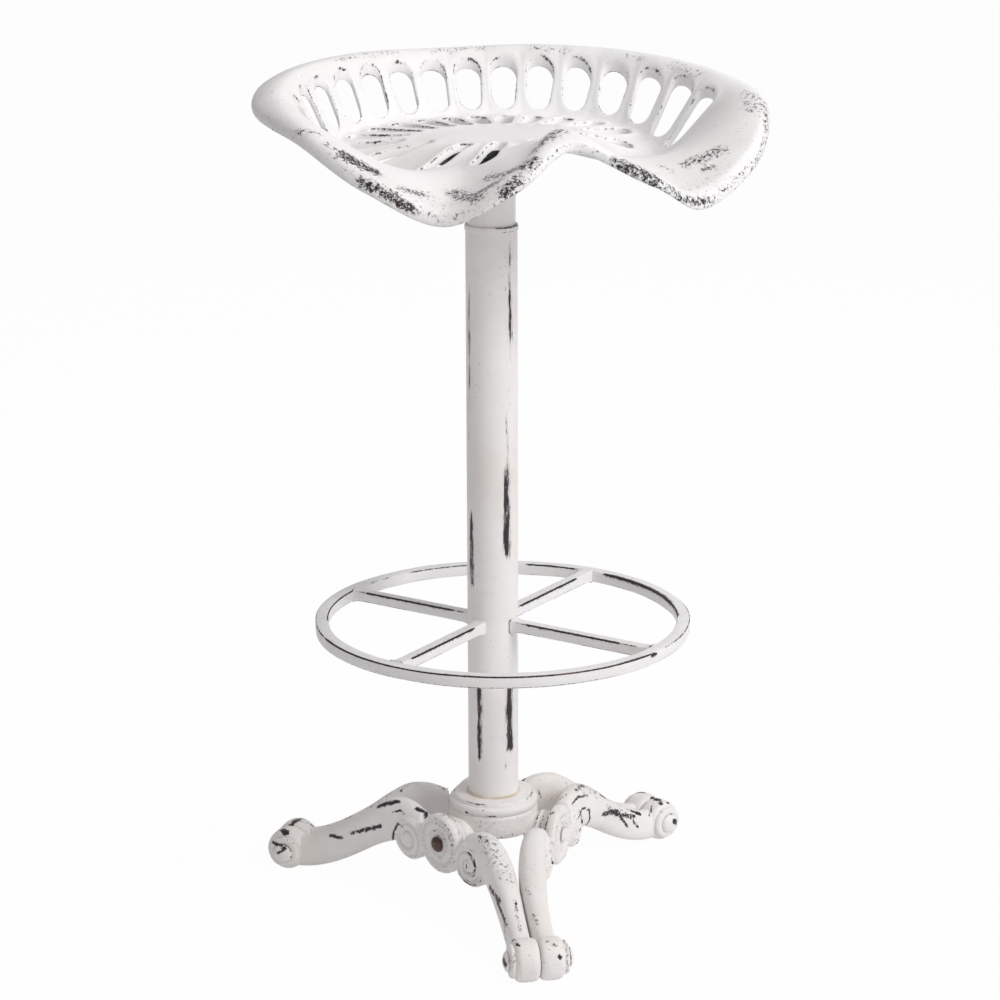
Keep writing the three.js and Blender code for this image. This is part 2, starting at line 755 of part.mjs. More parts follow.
// Closes equal rings of points into a body, with a fan at each end
function loftGeometry(points, sides, rings, flip) {
  const faces = [];
  const add = (a, b, c) => (flip ? faces.push(a, c, b) : faces.push(a, b, c));
  for (let ring = 0; ring < rings - 1; ring += 1) {
    for (let j = 0; j < sides; j += 1) {
      const a = ring * sides + j;
      const b = ring * sides + ((j + 1) % sides);
      add(a, b, b + sides);
      add(a, b + sides, a + sides);
    }
  }
  const last = (rings - 1) * sides;
  for (let j = 1; j < sides - 1; j += 1) {
    add(0, j + 1, j);
    add(last, last + j, last + j + 1);
  }
  const geometry = new THREE.BufferGeometry();
  geometry.setAttribute('position', new THREE.Float32BufferAttribute(points.flat(), 3));
  geometry.setIndex(faces);
  return geometry;
}

// Foot roll: a barrel with rounded edges, lying across the foot
function footRoll(side) {
  const { inward, centre } = rollPlace(side);
  const half = rollWidth / 2;
  const roll = turned([
    [0, -half],
    ...arcCorners(rollRadius - rollRound, rollRound - half, rollRound, -90, 0, edgeSteps),
    ...arcCorners(rollRadius - rollRound, half - rollRound, rollRound, 0, 90, edgeSteps),
    [0, half],
  ], rollSides);
  const turn = Math.atan2(inward.y, inward.x);
  return alongX(roll).rotateZ(turn).translate(centre.x, centre.y, rollZ);
}

function footBoltHole(side) {
  const { inward, centre } = rollPlace(side);
  const hole = rod(footBoltRadius + holeGap, -rollWidth, rollWidth, boltSides);
  return alongX(hole).rotateZ(Math.atan2(inward.y, inward.x)).translate(centre.x, centre.y, rollZ);
}

// One side casting in its own frame: +X out through the rosette, +Y along its face
function sideCasting() {
  const parts = [rosetteDisc()];
  for (const side of [-1, 1]) {
    parts.push(scrollDisc(side), footBar(side), footRoll(side));
  }
  const back = castingFaceReach - rosetteThick - cutOverrun;
  const boltHole = alongX(rod(rosetteBoltRadius + holeGap, back, castingFaceReach + cutOverrun, boltSides));
  const ground = new THREE.BoxGeometry(footReach * 4, footReach * 4, cutOverrun);
  const tools = [
    boltHole.translate(0, 0, rosetteZ),
    footBoltHole(-1),
    footBoltHole(1),
    ground.translate(0, 0, -cutOverrun / 2),
  ];
  return cut(joined(parts), tools);
}

// A domed button on a shank: the shank runs down from the dome's flat
function buttonBolt(headRadius, headHeight, shankRadius, shankLength) {
  const dome = arcCorners(0, 0, 1, 0, 90, domeSteps).map(([a, b]) => [headRadius * a, headHeight * b]);
  return turned([[0, -shankLength], [shankRadius, -shankLength], [shankRadius, 0], ...dome], boltSides);
}

// The domed nut on the bolt's far end, with a blind hole for the shank
function buttonNut(headRadius, headHeight, shankRadius, shankDepth) {
  const dome = arcCorners(0, 0, 1, 0, 90, domeSteps).map(([a, b]) => [headRadius * a, headHeight * b]);
  return turned([[0, shankDepth], [shankRadius, shankDepth], [shankRadius, 0], ...dome], boltSides);
}

function baseGroup() {
  const base = new THREE.Group();
  base.rotation.z = radians(baseTurn);
  base.add(piece('base_hub', baseHub(), castPaint));
  const names = ['side_casting_left', 'side_casting_right', 'side_casting_back'];
  const rosetteShank = rosetteThick + rosetteBoltBite;
  const buttonSeat = rollWidth + fitGap / 2 + fitGap;
  const nutBite = footButtonHeight / 2;
  const footShank = 2 * buttonSeat + nutBite - fitGap;
  for (let k = 0; k < castingCount; k += 1) {
    const casting = piece(names[k], sideCasting(), castPaint);
    casting.rotation.z = castingAngle(k);
    base.add(casting);
    const bolt = buttonBolt(rosetteBoltHeadRadius, rosetteBoltHeadHeight, rosetteBoltRadius, rosetteShank);
    alongX(bolt).translate(castingFaceReach + fitGap, 0, rosetteZ);
    const rosetteBolt = piece(`rosette_bolt_${k + 1}`, bolt, rustySteel);
    rosetteBolt.rotation.z = castingAngle(k);
    base.add(rosetteBolt);
    const across = footAngle(k) + Math.PI / 2;
    const footBolt = alongX(buttonBolt(footButtonRadius, footButtonHeight, footBoltRadius, footShank));
    const foot = new THREE.Group();
    foot.position.set(footReach * Math.cos(footAngle(k)), footReach * Math.sin(footAngle(k)), rollZ);
    foot.rotation.z = across;
    foot.add(piece(`foot_bolt_${k + 1}`, footBolt.translate(buttonSeat, 0, 0), castPaint));
    const nut = alongX(buttonNut(footButtonRadius, footButtonHeight, footBoltRadius + holeGap, nutBite));
    foot.add(piece(`foot_cap_nut_${k + 1}`, nut.translate(buttonSeat, 0, 0).rotateZ(Math.PI), castPaint));
    base.add(foot);
  }
  return base;
}

const stool = new THREE.Group();
stool.position.set(columnPlaceX, columnPlaceY, 0);
stool.add(seatGroup(), columnGroup(), footrestGroup(), baseGroup());

export default stool;
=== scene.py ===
# %% [markdown]
# # A tractor seat stool in worn white paint
# The stool is made of iron castings, steel tube and square bar, brushed with antique white and rubbed back
# at the edges. The frame brings each solid piece in its true place. This lesson dresses them: finer surfaces
# where the frame's facets would show, and a paint that wears through where a hand or a foot would reach it.

# %% Load the frame
import math

import bmesh
import bpy
import numpy as np
from mathutils import Matrix


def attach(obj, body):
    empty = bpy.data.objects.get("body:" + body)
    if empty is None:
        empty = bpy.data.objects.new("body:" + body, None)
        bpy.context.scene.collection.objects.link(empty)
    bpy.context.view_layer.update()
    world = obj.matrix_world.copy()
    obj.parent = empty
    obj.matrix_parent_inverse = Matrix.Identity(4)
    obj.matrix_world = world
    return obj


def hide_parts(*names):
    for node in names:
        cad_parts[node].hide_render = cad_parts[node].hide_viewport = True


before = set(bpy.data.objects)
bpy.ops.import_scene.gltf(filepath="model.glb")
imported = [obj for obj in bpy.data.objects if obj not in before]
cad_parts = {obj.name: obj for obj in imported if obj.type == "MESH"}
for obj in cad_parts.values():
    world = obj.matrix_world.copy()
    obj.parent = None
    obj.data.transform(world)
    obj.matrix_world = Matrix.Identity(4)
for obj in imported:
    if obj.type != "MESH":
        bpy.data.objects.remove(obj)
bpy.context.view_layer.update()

# %% [markdown]
# ## The sizes that the pieces share
# All lengths are in millimetres and become metres when a mesh is made. The column's axis is the middle of
# everything that turns, so each group of pieces is worked out about it and then set in place.

# %% Shared sizes and placing
MM = 0.001
COLUMN_PLACE = np.array([-11.12, 31.26, 0.0])
SEAT_TURN = 19.4
SPOKE_TURN = 57.2
BASE_TURN = 11.0
CASTING_TURNS = (-150, -30, 90)


def turn_about_z(points, degrees):
    """Turns points about the upright axis: x' = x cos a - y sin a, y' = x sin a + y cos a."""
    a = np.radians(degrees)
    x, y, z = points[..., 0], points[..., 1], points[..., 2]
    return np.stack([x * np.cos(a) - y * np.sin(a), x * np.sin(a) + y * np.cos(a), z], -1)


def lay_along_x(points):
    """Lays a body that was turned about Z along +X: the height becomes x, and the old x points down."""
    return np.stack([points[..., 2], points[..., 1], -points[..., 0]], -1)


def in_place(points, degrees=0.0):
    """Turns points about the column and moves them from the column's axis to its place."""
    return turn_about_z(points, degrees) + COLUMN_PLACE


print("column at", COLUMN_PLACE, "mm, seat turned", SEAT_TURN, "degrees")

# %% [markdown]
# ## Where hands and boots have rubbed
# The worn places are the eye's first clue that this is an old thing, so the larger ones are listed one by
# one. Each is a short stroke from one point to another, with a reach round it and a strength. The shader
# breaks their borders up later, so a few round numbers are enough.

# %% Scuffs: from x, y, z, to x, y, z about the column's axis, reach in mm, strength
SEAT_SCUFFS = np.array([
    [-114, -197, 698, -90, -203, 688, 9.7, 0.72], [-126, -191, 705, -113, -201, 695, 7.2, 0.43],
    [-150, -176, 713, -136, -179, 712, 4.8, 0.54], [-179, -77, 731, -160, -123, 728, 10.8, 0.25],
    [-99, -216, 681, -61, -223, 661, 5.5, 0.72], [-83, -219, 675, -74, -220, 670, 6.8, 0.61],
    [-68, -210, 674, -52, -201, 669, 6, 0.57], [-47, -195, 669, -41, -198, 666, 4.2, 0.41],
    [-28, -187, 667, -10, -216, 668, 10.1, 0.6], [-11, -204, 669, 5, -208, 678, 9.3, 0.6],
    [-2, -182, 678, 11, -196, 683, 8.1, 0.54], [11, -226, 674, 20, -219, 681, 10.1, 0.6],
    [16, -198, 686, 31, -201, 692, 11.9, 0.6], [33, -183, 698, 43, -173, 706, 8.1, 0.54],
    [45, -171, 707, 52, -165, 710, 10.1, 0.6], [-135, 42, 741, -111, 69, 741, 4.8, 0.36],
    [-111, 69, 741, -83, 93, 740, 4.8, 0.36], [-55, 109, 739, -27, 119, 739, 4.8, 0.36],
    [-27, 119, 739, 1, 124, 740, 4.8, 0.36], [39, 123, 740, 67, 118, 738, 6.2, 0.36],
    [119, 98, 736, 133, 88, 734, 4.8, 0.36], [156, 70, 731, 176, 45, 728, 7.2, 0.36],
    [96, -184, 691, 107, -186, 686, 6, 0.54], [103, -185, 689, 129, -184, 674, 9.7, 0.68],
    [129, -184, 673, 152, -168, 657, 6.8, 0.58], [117, -174, 685, 133, -122, 670, 6, 0.54],
    [138, -107, 675, 146, -115, 671, 4.8, 0.36], [158, -105, 678, 169, -104, 681, 8.2, 0.58],
    [169, -104, 681, 184, -98, 688, 9.7, 0.58], [171, -118, 674, 178, -117, 676, 5.5, 0.58],
    [183, -91, 690, 191, -104, 686, 4.8, 0.36], [212, -23, 724, 214, -55, 713, 8.2, 0.45],
    [218, -32, 720, 224, -42, 715, 6.8, 0.45], [223, -50, 713, 225, -78, 695, 6.8, 0.45],
    [223, -84, 691, 209, -113, 673, 5.5, 0.45], [206, -117, 671, 185, -138, 659, 4.2, 0.42],
    [146, -173, 659, 176, -144, 651, 5.5, 0.58],
])
BASE_SCUFFS = np.array([
    [-149, 32, 38, -138, 25, 38, 2, 0.8], [-130, 21, 44, -117, 15, 50, 2, 0.75],
    [-117, 15, 50, -102, 7, 57, 2.5, 0.8], [-104, 13, 74, -86, 2, 83, 3, 0.85],
    [-109, 55, 62, -91, 51, 75, 1.8, 0.6], [-91, 51, 75, -73, 47, 83, 1.8, 0.6],
    [-68, -8, 79, -60, -10, 76, 3.2, 0.95], [-51, 46, 80, -45, 43, 78, 1.6, 0.6],
    [-91, 0, 73, -84, -3, 76, 1.3, 0.8], [-84, -3, 76, -76, -12, 73, 1.3, 0.7],
    [-91, 6, 42, -90, -1, 55, 1.3, 0.9], [-90, -1, 55, -86, -3, 63, 1.4, 0.95],
    [-86, -3, 63, -77, -10, 62, 1.4, 0.95], [-51, -42, 86, -42, -53, 82, 1.3, 0.7],
    [-39, -54, 72, -36, -57, 64, 1.3, 0.7], [-33, -7, 96, -29, -22, 95, 1.6, 0.8],
    [-29, -22, 95, -20, -31, 94, 1.6, 0.85], [-20, -31, 94, -8, -36, 94, 1.6, 0.8],
    [-40, -7, 84, -37, -18, 83, 2.2, 0.8], [-24, -31, 85, 5, -41, 84, 1.5, 0.75],
    [-13, -79, 83, -5, -92, 82, 2.5, 0.55], [-22, -73, 64, -17, -81, 63, 1.3, 0.85],
    [-17, -81, 63, -16, -83, 54, 1.4, 0.95], [-16, -83, 54, -18, -78, 40, 1.3, 0.85],
    [-23, -75, 54, -23, -75, 51, 1.4, 0.95], [-201, 44, 26, -191, 36, 23, 2.6, 0.85],
    [-191, 36, 23, -197, 37, 19, 2.2, 0.75], [-195, 75, 28, -179, 64, 30, 3, 0.75],
    [-185, 73, 35, -176, 79, 35, 2.2, 0.8], [-186, 36, 15, -186, 37, 15, 1.2, 0.8],
    [30, -22, 94, 34, -9, 96, 1.6, 0.75], [41, 54, 73, 43, 55, 65, 1.2, 0.7],
    [20, -37, 81, 26, -33, 80, 1.5, 0.7], [-12, -40, 78, 18, -38, 65, 8, 0.24],
    [-52, -45, 61, -52, -46, 60, 9.5, 0.56],
    [14, -40, 70, 16, -39, 74, 2.2, 0.9], [4, -42, 65, 23, -35, 63, 1.2, 0.7],
    [-8, -88, 82, 13, -120, 62, 11, 0.34], [-3, -115, 49, 4, -135, 45, 3.5, 0.75],
    [3, -132, 43, 10, -157, 33, 2.6, 0.8], [8, -148, 38, 11, -161, 21, 1.6, 0.7],
    [18, -139, 48, 23, -170, 33, 2.2, 0.5], [27, -124, 53, 31, -132, 51, 2.2, 0.45],
    [34, -150, 39, 37, -160, 36, 2.6, 0.5], [16, -177, 28, 28, -190, 35, 1.5, 0.7],
    [20, -199, 34, 21, -201, 34, 2, 0.7], [46, -195, 34, 51, -199, 34, 3, 0.42],
    [55, -205, 26, 56, -205, 25, 2, 0.95], [9, -200, 20, 10, -203, 18, 2.8, 1],
    [72, 16, 75, 76, 25, 77, 1.5, 0.75], [76, 25, 77, 87, 38, 74, 1.5, 0.75],
    [76, 16, 59, 80, 28, 65, 1.3, 0.9], [80, 28, 65, 87, 38, 60, 1.3, 0.95],
    [87, 38, 60, 88, 40, 49, 1.3, 0.95], [88, 40, 49, 84, 43, 41, 1.3, 0.8],
    [80, 28, 53, 80, 30, 51, 1.8, 0.95], [98, 59, 67, 136, 95, 33, 2.4, 0.95],
    [104, 59, 53, 124, 80, 37, 5, 0.34], [114, 70, 44, 124, 80, 26, 2, 0.8],
    [67, 68, 74, 83, 41, 82, 1.5, 0.6], [96, 57, 70, 107, 69, 57, 1.3, 0.7],
    [135, 142, 35, 141, 142, 35, 3.6, 0.95], [149, 133, 32, 154, 120, 36, 3.2, 0.95],
    [48, -59, 65, 49, -56, 40, 1.4, 0.7], [51, -59, 53, 52, -50, 43, 1.4, 0.85],
])


def scuff_wear(points, scuffs):
    """The strongest of all strokes: strength times e^-(d / reach)^p, where d is the distance from a stroke.
    The power p is lower on the seat, where borders are softer. The base's strokes come again at the back."""
    local = points - COLUMN_PLACE
    wear = np.zeros(len(local))
    power, thirds = (2.8, 1) if scuffs is SEAT_SCUFFS else (4, 3)
    for third in range(thirds):
        start, end = (turn_about_z(scuffs[:, k:k + 3], 120.0 * third) for k in (0, 3))
        for a, b, (reach, strength) in zip(start, end, scuffs[:, 6:]):
            if third and a[1] < 20:
                continue
            way = b - a
            t = np.clip((local - a) @ way / max(way @ way, 1e-6), 0, 1)[:, None]
            away = np.linalg.norm(local - a - t * way, axis=1)
            wear = np.maximum(wear, strength * np.exp(-np.minimum(away / reach, 3.0) ** power))
    return wear


print("scuffs", len(SEAT_SCUFFS), len(BASE_SCUFFS))

# %% [markdown]
# ## From arrays to a mesh
# Every surface here is a grid of points, so its faces follow from the grid's rows and columns alone. Seams
# and poles are welded afterwards, and the faces are turned outwards.

# %% Grid faces and pieces
def grid_faces(rows, columns, around=False):
    """Quads between neighbouring rows and columns of a grid, numbered row by row. With around, the last
    column joins the first one."""
    i, j = np.meshgrid(np.arange(rows - 1), np.arange(columns if around else columns - 1), indexing="ij")
    k = (j + 1) % columns
    below, above = i * columns, (i + 1) * columns
    return np.stack([below + j, below + k, above + k, above + j], -1).reshape(-1, 4)


def join_grids(grids):
    """Puts grids of points, each with its around flag, into one list of points and one of quads."""
    points, faces, start = [], [], 0
    for grid, around in grids:
        faces.append(grid_faces(grid.shape[0], grid.shape[1], around) + start)
        points.append(grid.reshape(-1, 3))
        start += grid.shape[0] * grid.shape[1]
    return np.concatenate(points), np.concatenate(faces)


def standing_proud(mesh, rounds=2):
    """How sharply each point stands out of its neighbours, in 1/mm: the mean over its edges of
    2 n . (p - q) / |p - q|^2, then smoothed. It is above zero on edges and below zero in grooves."""
    count = len(mesh.vertices)
    p, n = np.empty(count * 3), np.empty(count * 3)
    mesh.vertices.foreach_get("co", p)
    mesh.vertices.foreach_get("normal", n)
    p, n = p.reshape(-1, 3) / MM, n.reshape(-1, 3)
    edges = np.empty(len(mesh.edges) * 2, np.int64)
    mesh.edges.foreach_get("vertices", edges)
    a, b = edges.reshape(-1, 2).T
    d = p[a] - p[b]
    squared = np.maximum((d * d).sum(1), 1e-4)
    at_a, at_b = 2 * (n[a] * d).sum(1) / squared, -2 * (n[b] * d).sum(1) / squared
    total = np.bincount(a, minlength=count) + np.bincount(b, minlength=count)
    value = (np.bincount(a, at_a, count) + np.bincount(b, at_b, count)) / np.maximum(total, 1)
    value = np.clip(value, -1.5, 1.5)
    for _ in range(rounds):
        spread = np.bincount(a, value[b], count) + np.bincount(b, value[a], count)
        value = 0.4 * value + 0.6 * spread / np.maximum(total, 1)
    return value


WELD, SLIVER = 4e-6, 1e-7


def make_piece(name, grids, body, material, extra=None, nodes=None):
    """Makes one welded, smooth piece from grids of points in millimetres, stores where it is an edge, worn
    and hollow, and hands it to the frame, in place of the node with its name less the last word."""
    if nodes is None:
        nodes = [name.rsplit("_", 1)[0]]
    points, faces = join_grids([(grids, True)] if isinstance(grids, np.ndarray) else grids)
    mesh = bpy.data.meshes.new(name)
    mesh.vertices.add(len(points))
    mesh.vertices.foreach_set("co", (points * MM).astype(np.float32).ravel())
    mesh.loops.add(faces.size)
    mesh.loops.foreach_set("vertex_index", faces.astype(np.int32).ravel())
    mesh.polygons.add(len(faces))
    mesh.polygons.foreach_set("loop_start", np.arange(0, faces.size, 4, dtype=np.int32))
    mesh.update(calc_edges=True)
    shape = bmesh.new()
    shape.from_mesh(mesh)
    bmesh.ops.remove_doubles(shape, verts=shape.verts, dist=WELD)
    bmesh.ops.dissolve_degenerate(shape, edges=shape.edges, dist=SLIVER)
    bmesh.ops.recalc_face_normals(shape, faces=shape.faces)
    open_edges = sum(1 for edge in shape.edges if not edge.is_manifold)
    shape.to_mesh(mesh)
    shape.free()
    mesh.shade_smooth()
    # an edge is a bend of 0.07 to 0.42 per mm outwards, a hollow one of 0.05 to 0.35 inwards; the hollows get
    # painted shade
    proud = standing_proud(mesh)
    co = np.empty(len(mesh.vertices) * 3)
    mesh.vertices.foreach_get("co", co)
    co = co.reshape(-1, 3) / MM
    edge = np.clip((proud - 0.07) / 0.35, 0, 1)
    hollow = np.clip((-proud - 0.05) / 0.3, 0, 1)
    wear = scuff_wear(co, SEAT_SCUFFS if body == "seat" else BASE_SCUFFS)
    if extra is not None:
        wear = np.maximum(wear, extra(co))
    for label, values in (("edge", edge), ("wear", wear), ("hollow", hollow)):
        mesh.attributes.new(label, "FLOAT", "POINT").data.foreach_set("value", values.astype(np.float32))
    piece = bpy.data.objects.new(name, mesh)
    bpy.context.scene.collection.objects.link(piece)
    mesh.materials.append(material)
    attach(piece, body)
    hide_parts(*nodes)
    print(f"{name}: {len(mesh.vertices)} points, {len(mesh.polygons)} faces, {open_edges} open edges")


# %% [markdown]
# ## Paint that has been rubbed back
# The real finish is white paint over dark iron, rubbed through on the edges and in patches. One value decides
# it at each point: the scuffs, the edges where a broad noise lets them through, and a fine noise that breaks
# every border into chips. Above a threshold the iron shows, and just below it the paint is thin and grey.
# Hollows and grooves are darkened towards cream as painted shade.

# %% Small helpers for shader nodes
class Nodes:
    """Adds shader nodes to one material and links them, so that a finish reads as a short list of steps."""

    def __init__(self, name):
        self.material = bpy.data.materials.new(name)
        self.material.use_nodes = True
        self.tree = self.material.node_tree
        self.shader = next(n for n in self.tree.nodes if n.type == "BSDF_PRINCIPLED")
        self.where = self.tree.nodes.new("ShaderNodeTexCoord").outputs["Object"]

    def wire(self, value, socket):
        """Links an output, or writes a plain number or colour into the socket."""
        if isinstance(value, bpy.types.NodeSocket):
            self.tree.links.new(value, socket)
        else:
            socket.default_value = value

    def node(self, kind, **inputs):
        """Adds a node and sets its inputs by name."""
        node = self.tree.nodes.new("ShaderNode" + kind)
        for label, value in inputs.items():
            self.wire(value, node.inputs[label.replace("_", " ")])
        return node

    def stretched(self, scale):
        """The object's coordinates, scaled along each axis."""
        return self.node("Mapping", Vector=self.where, Scale=scale).outputs["Vector"]

    def noise(self, scale, detail=3.0, rough=0.55, where=None, warp=0.0):
        """Noise from 0 to 1 at a scale in features per metre."""
        node = self.node("TexNoise", Vector=where or self.where, Scale=scale, Detail=detail)
        node.inputs["Roughness"].default_value = rough
        node.inputs["Distortion"].default_value = warp
        return node.outputs["Fac"]

    def math(self, kind, a, b=0.0):
        """One arithmetic step on two values."""
        node = self.node("Math")
        node.operation = kind
        self.wire(a, node.inputs[0])
        self.wire(b, node.inputs[1])
        return node.outputs[0]

    def ramp(self, value, low, high, to_low=0.0, to_high=1.0):
        """A smooth step of the value from low to high."""
        node = self.node("MapRange")
        node.interpolation_type = "SMOOTHSTEP"
        self.wire(value, node.inputs["Value"])
        for label, number in (("From Min", low), ("From Max", high), ("To Min", to_low), ("To Max", to_high)):
            node.inputs[label].default_value = number
        return node.outputs["Result"]

    def blend(self, share, first, second):
        """A colour between two colours."""
        node = self.node("Mix")
        node.data_type = "RGBA"
        for label, value in (("Factor", share), ("A", first), ("B", second)):
            self.wire(value, node.inputs[label])
        return node.outputs["Result"]

    def attribute(self, label):
        """A value that is stored at the mesh's points."""
        node = self.node("Attribute")
        node.attribute_name = label
        return node.outputs["Fac"]

    def bump(self, height, distance, strength=1.0, under=None):
        """Raises the surface by the height times the distance in metres."""
        node = self.node("Bump", Height=height, Distance=distance, Strength=strength)
        if under is not None:
            self.wire(under, node.inputs["Normal"])
        return node.outputs["Normal"]


# %% The worn paint
WHITE = (0.87, 0.845, 0.835, 1)
COOL_WHITE = (0.85, 0.836, 0.847, 1)
CREAM = (0.80, 0.755, 0.715, 1)
PALE_CREAM = (0.80, 0.77, 0.755, 1)
LILAC = (0.74, 0.71, 0.75, 1)
THIN = (0.29, 0.28, 0.31, 1)
IRON = (0.036, 0.031, 0.037, 1)
RUST = (0.085, 0.045, 0.034, 1)


def worn_paint(name, brush=(1, 1, 1), edges=0.75, grain=1.0, chip=3.2, white=WHITE, cream=CREAM, rust=0.52):
    """White paint over iron: scuffs + broken edges + chips, cut at a threshold, with a thin grey border, and
    painted shade towards cream in the hollows.
    """
    n = Nodes(name)
    worn, edge, hollow = (n.attribute(label) for label in ("wear", "edge", "hollow"))
    along = n.stretched(brush)
    chips = n.math("MULTIPLY", n.math("SUBTRACT", n.noise(330, 9, 0.8, along, 0.2), 0.5), chip)
    broken = n.math("MULTIPLY", edge, n.ramp(n.noise(34, 3, 0.6), 0.44, 0.6, 0.0, edges))
    places = n.ramp(n.noise(15, 2), 0.5, 0.62, 0, 0.75)
    specks = n.math("MULTIPLY", n.ramp(n.noise(620, 2, 0.5), 0.68, 0.74), places)
    value = n.math("ADD", n.math("ADD", n.math("MAXIMUM", worn, broken), chips), specks)
    bare = n.ramp(value, 0.56, 0.62)
    thin = n.ramp(value, 0.3, 0.58, 0.0, 0.4)
    tone = n.blend(n.ramp(n.noise(9, 4, 0.55), 0.4, 0.72), white, cream)
    tone = n.blend(n.ramp(n.noise(38, 5, 0.65), 0.5, 0.75, 0.0, 0.4), tone, LILAC)
    # painted shade: hollow places and grooves are darkened towards cream
    tone = n.blend(n.ramp(hollow, 0.1, 1.0, 0.0, 0.7), tone, cream)
    tone = n.blend(thin, tone, THIN)
    metal = n.blend(n.ramp(n.noise(70, 4, 0.6), rust, rust + 0.16), IRON, RUST)
    n.wire(n.blend(bare, tone, metal), n.shader.inputs["Base Color"])
    n.wire(n.ramp(bare, 0.0, 1.0, 0.0, 0.5), n.shader.inputs["Metallic"])
    matt = n.ramp(n.noise(90, 3), 0.3, 0.7, 0.44, 0.6)
    n.wire(n.math("ADD", matt, n.math("MULTIPLY", bare, -0.06)), n.shader.inputs["Roughness"])
    coat = n.bump(n.noise(190, 4, 0.6), 0.0007 * grain, 0.5)
    n.wire(n.bump(bare, -0.0003, 0.8, coat), n.shader.inputs["Normal"])
    return n.material


cast_paint = worn_paint("worn_cast_paint")
seat_paint = worn_paint("worn_seat_paint", white=COOL_WHITE, cream=PALE_CREAM)
tube_paint = worn_paint("worn_tube_paint", brush=(1, 1, 0.1), grain=0.35, chip=2.2)
bar_paint = worn_paint("worn_bar_paint", edges=0.7, grain=0.5, chip=1.8, white=COOL_WHITE, cream=PALE_CREAM)
bolt_paint = worn_paint("worn_bolt_paint", rust=0.36)
print("paints", [m.name for m in (cast_paint, seat_paint, tube_paint, bar_paint, bolt_paint)])

# %% [markdown]
# ## The seat's shape
# The pan is a dish with a high back wall, two hollows for the legs and two front lobes that droop beside a
# pommel. All its measures change round the rim, so each is a table of shares at angles from the back, read
# with a smooth curve, and the same on both sides.

# %% Seat tables
SEAT_HALF_WIDTH, SEAT_FORWARD, PAN_FLOOR, PAN_WALL = 217.0, 35.7, 686.0, 6.0
RIM_RISE, RIM_DROP, HOLLOW_DEPTH = 60.0, 8.0, 20.0
RIM_ANGLES = np.array([0, 30, 60, 90, 112, 130, 146, 162, 180.0])
RIM_REACH = np.array([0.853, 0.862, 0.915, 0.978, 1, 0.982, 0.9, 0.878, 0.708])
RIM_HEIGHT = np.array([0.925, 0.95, 0.892, 0.735, 0.572, 0.048, -0.387, -0.005, 0.443])
WALL_ANGLES = np.array([0, 60, 100, 140, 180.0])
HOLLOW_START = 0.24
HOLLOW = np.array([0, 0.25, 1, 0.3, -0.6])
WALL_START = np.array([0.642, 0.7, 0.64, 0.594, 0.589])
CREST = np.array([0.862, 0.872, 0.895, 0.868, 0.866])
SLOPE_ANGLES = np.array([0, 60, 90, 112, 130, 150, 180.0])
SLOPE_START = np.array([0.642, 0.69, 0.62, 0.52, 0.47, 0.52, 0.589])
SLOPE_END = np.array([0.872, 0.885, 0.92, 0.965, 0.97, 0.93, 0.866])
SLOPE_DROP = np.array([8, 8, 7, 5, 5, 7, 8.0])


def read_table(at, stations, values, slope):
    """Reads a table with a smooth curve: on each span t from 0 to 1 a cubic that meets the values and the
    slopes at both stations."""
    i = np.clip(np.searchsorted(stations, at) - 1, 0, len(stations) - 2)
    span = stations[i + 1] - stations[i]
    t = (at - stations[i]) / span
    start = values[i] * (1 + 2 * t) * (1 - t) ** 2 + slope[i] * span * t * (1 - t) ** 2
    return start + values[i + 1] * t * t * (3 - 2 * t) + slope[i + 1] * span * t * t * (t - 1)


def round_the_seat(angles, shares, turn):
    """Reads a table at any angle, with the slope between the neighbours at each station and none at the back
    and the front. The angle is folded, so left and right are alike."""
    turn = np.abs((turn + 540.0) % 360.0 - 180.0)
    slope = np.zeros(len(angles))
    slope[1:-1] = (shares[2:] - shares[:-2]) / (angles[2:] - angles[:-2])
    return read_table(turn, angles, shares, slope)


def pan_reach(turn):
    """Distance from the pan's centre to its rim."""
    return SEAT_HALF_WIDTH * round_the_seat(RIM_ANGLES, RIM_REACH, turn)


def smooth_step(value):
    """3 t^2 - 2 t^3 for t from 0 to 1."""
    t = np.clip(value, 0, 1)
    return t * t * (3 - 2 * t)


def pan_top(turn, share):
    """Height of the top: the floor sinks smoothly into the hollows, the wall rises from its foot to the crest
    in an S, and past the crest the rim rolls down with the square of the way. Towards the front the wall
    starts nearer the middle and ends nearer the rim, so that it becomes a bowl."""
    foot = round_the_seat(SLOPE_ANGLES, SLOPE_START, turn)
    crest = round_the_seat(SLOPE_ANGLES, SLOPE_END, turn)
    drop = round_the_seat(SLOPE_ANGLES, SLOPE_DROP, turn)
    sink = HOLLOW_DEPTH * round_the_seat(WALL_ANGLES, HOLLOW, turn)
    rise = RIM_RISE * round_the_seat(RIM_ANGLES, RIM_HEIGHT, turn) - (RIM_DROP - drop)
    roll = np.maximum(0, (share - crest) / (1 - crest))
    wall = smooth_step((share - foot) / (crest - foot))
    floor = smooth_step((share - HOLLOW_START) / (foot - HOLLOW_START))
    return PAN_FLOOR - sink * floor + (rise + sink) * wall - drop * roll * roll


def pan_thickness(turn, share):
    """Upright thickness: the wall's own, longer by the root of 1 + slope^2 where the surface is steep."""
    fall = pan_top(turn, share + 0.01) - pan_top(turn, share - 0.01)
    slope = np.minimum(1.05, np.abs(fall / (0.02 * pan_reach(turn))))
    return PAN_WALL * np.sqrt(1 + slope * slope)


rim_places = {"back": 0, "side": 90, "lobe": 146, "pommel": 180}
print("rim, mm up", {place: round(float(pan_top(turn, 1.0)), 1) for place, turn in rim_places.items()})

# %% [markdown]
# ## The slots
# A slot has straight sides that widen outwards, and round ends. The casting draws straight down from its
# mould, so a slot has the same outline at the top and the bottom of the pan. Each has a soft raised lip, and
# where neighbours meet the lips make a rib.

# %% Slot table
SLOT_PITCH = 12.6
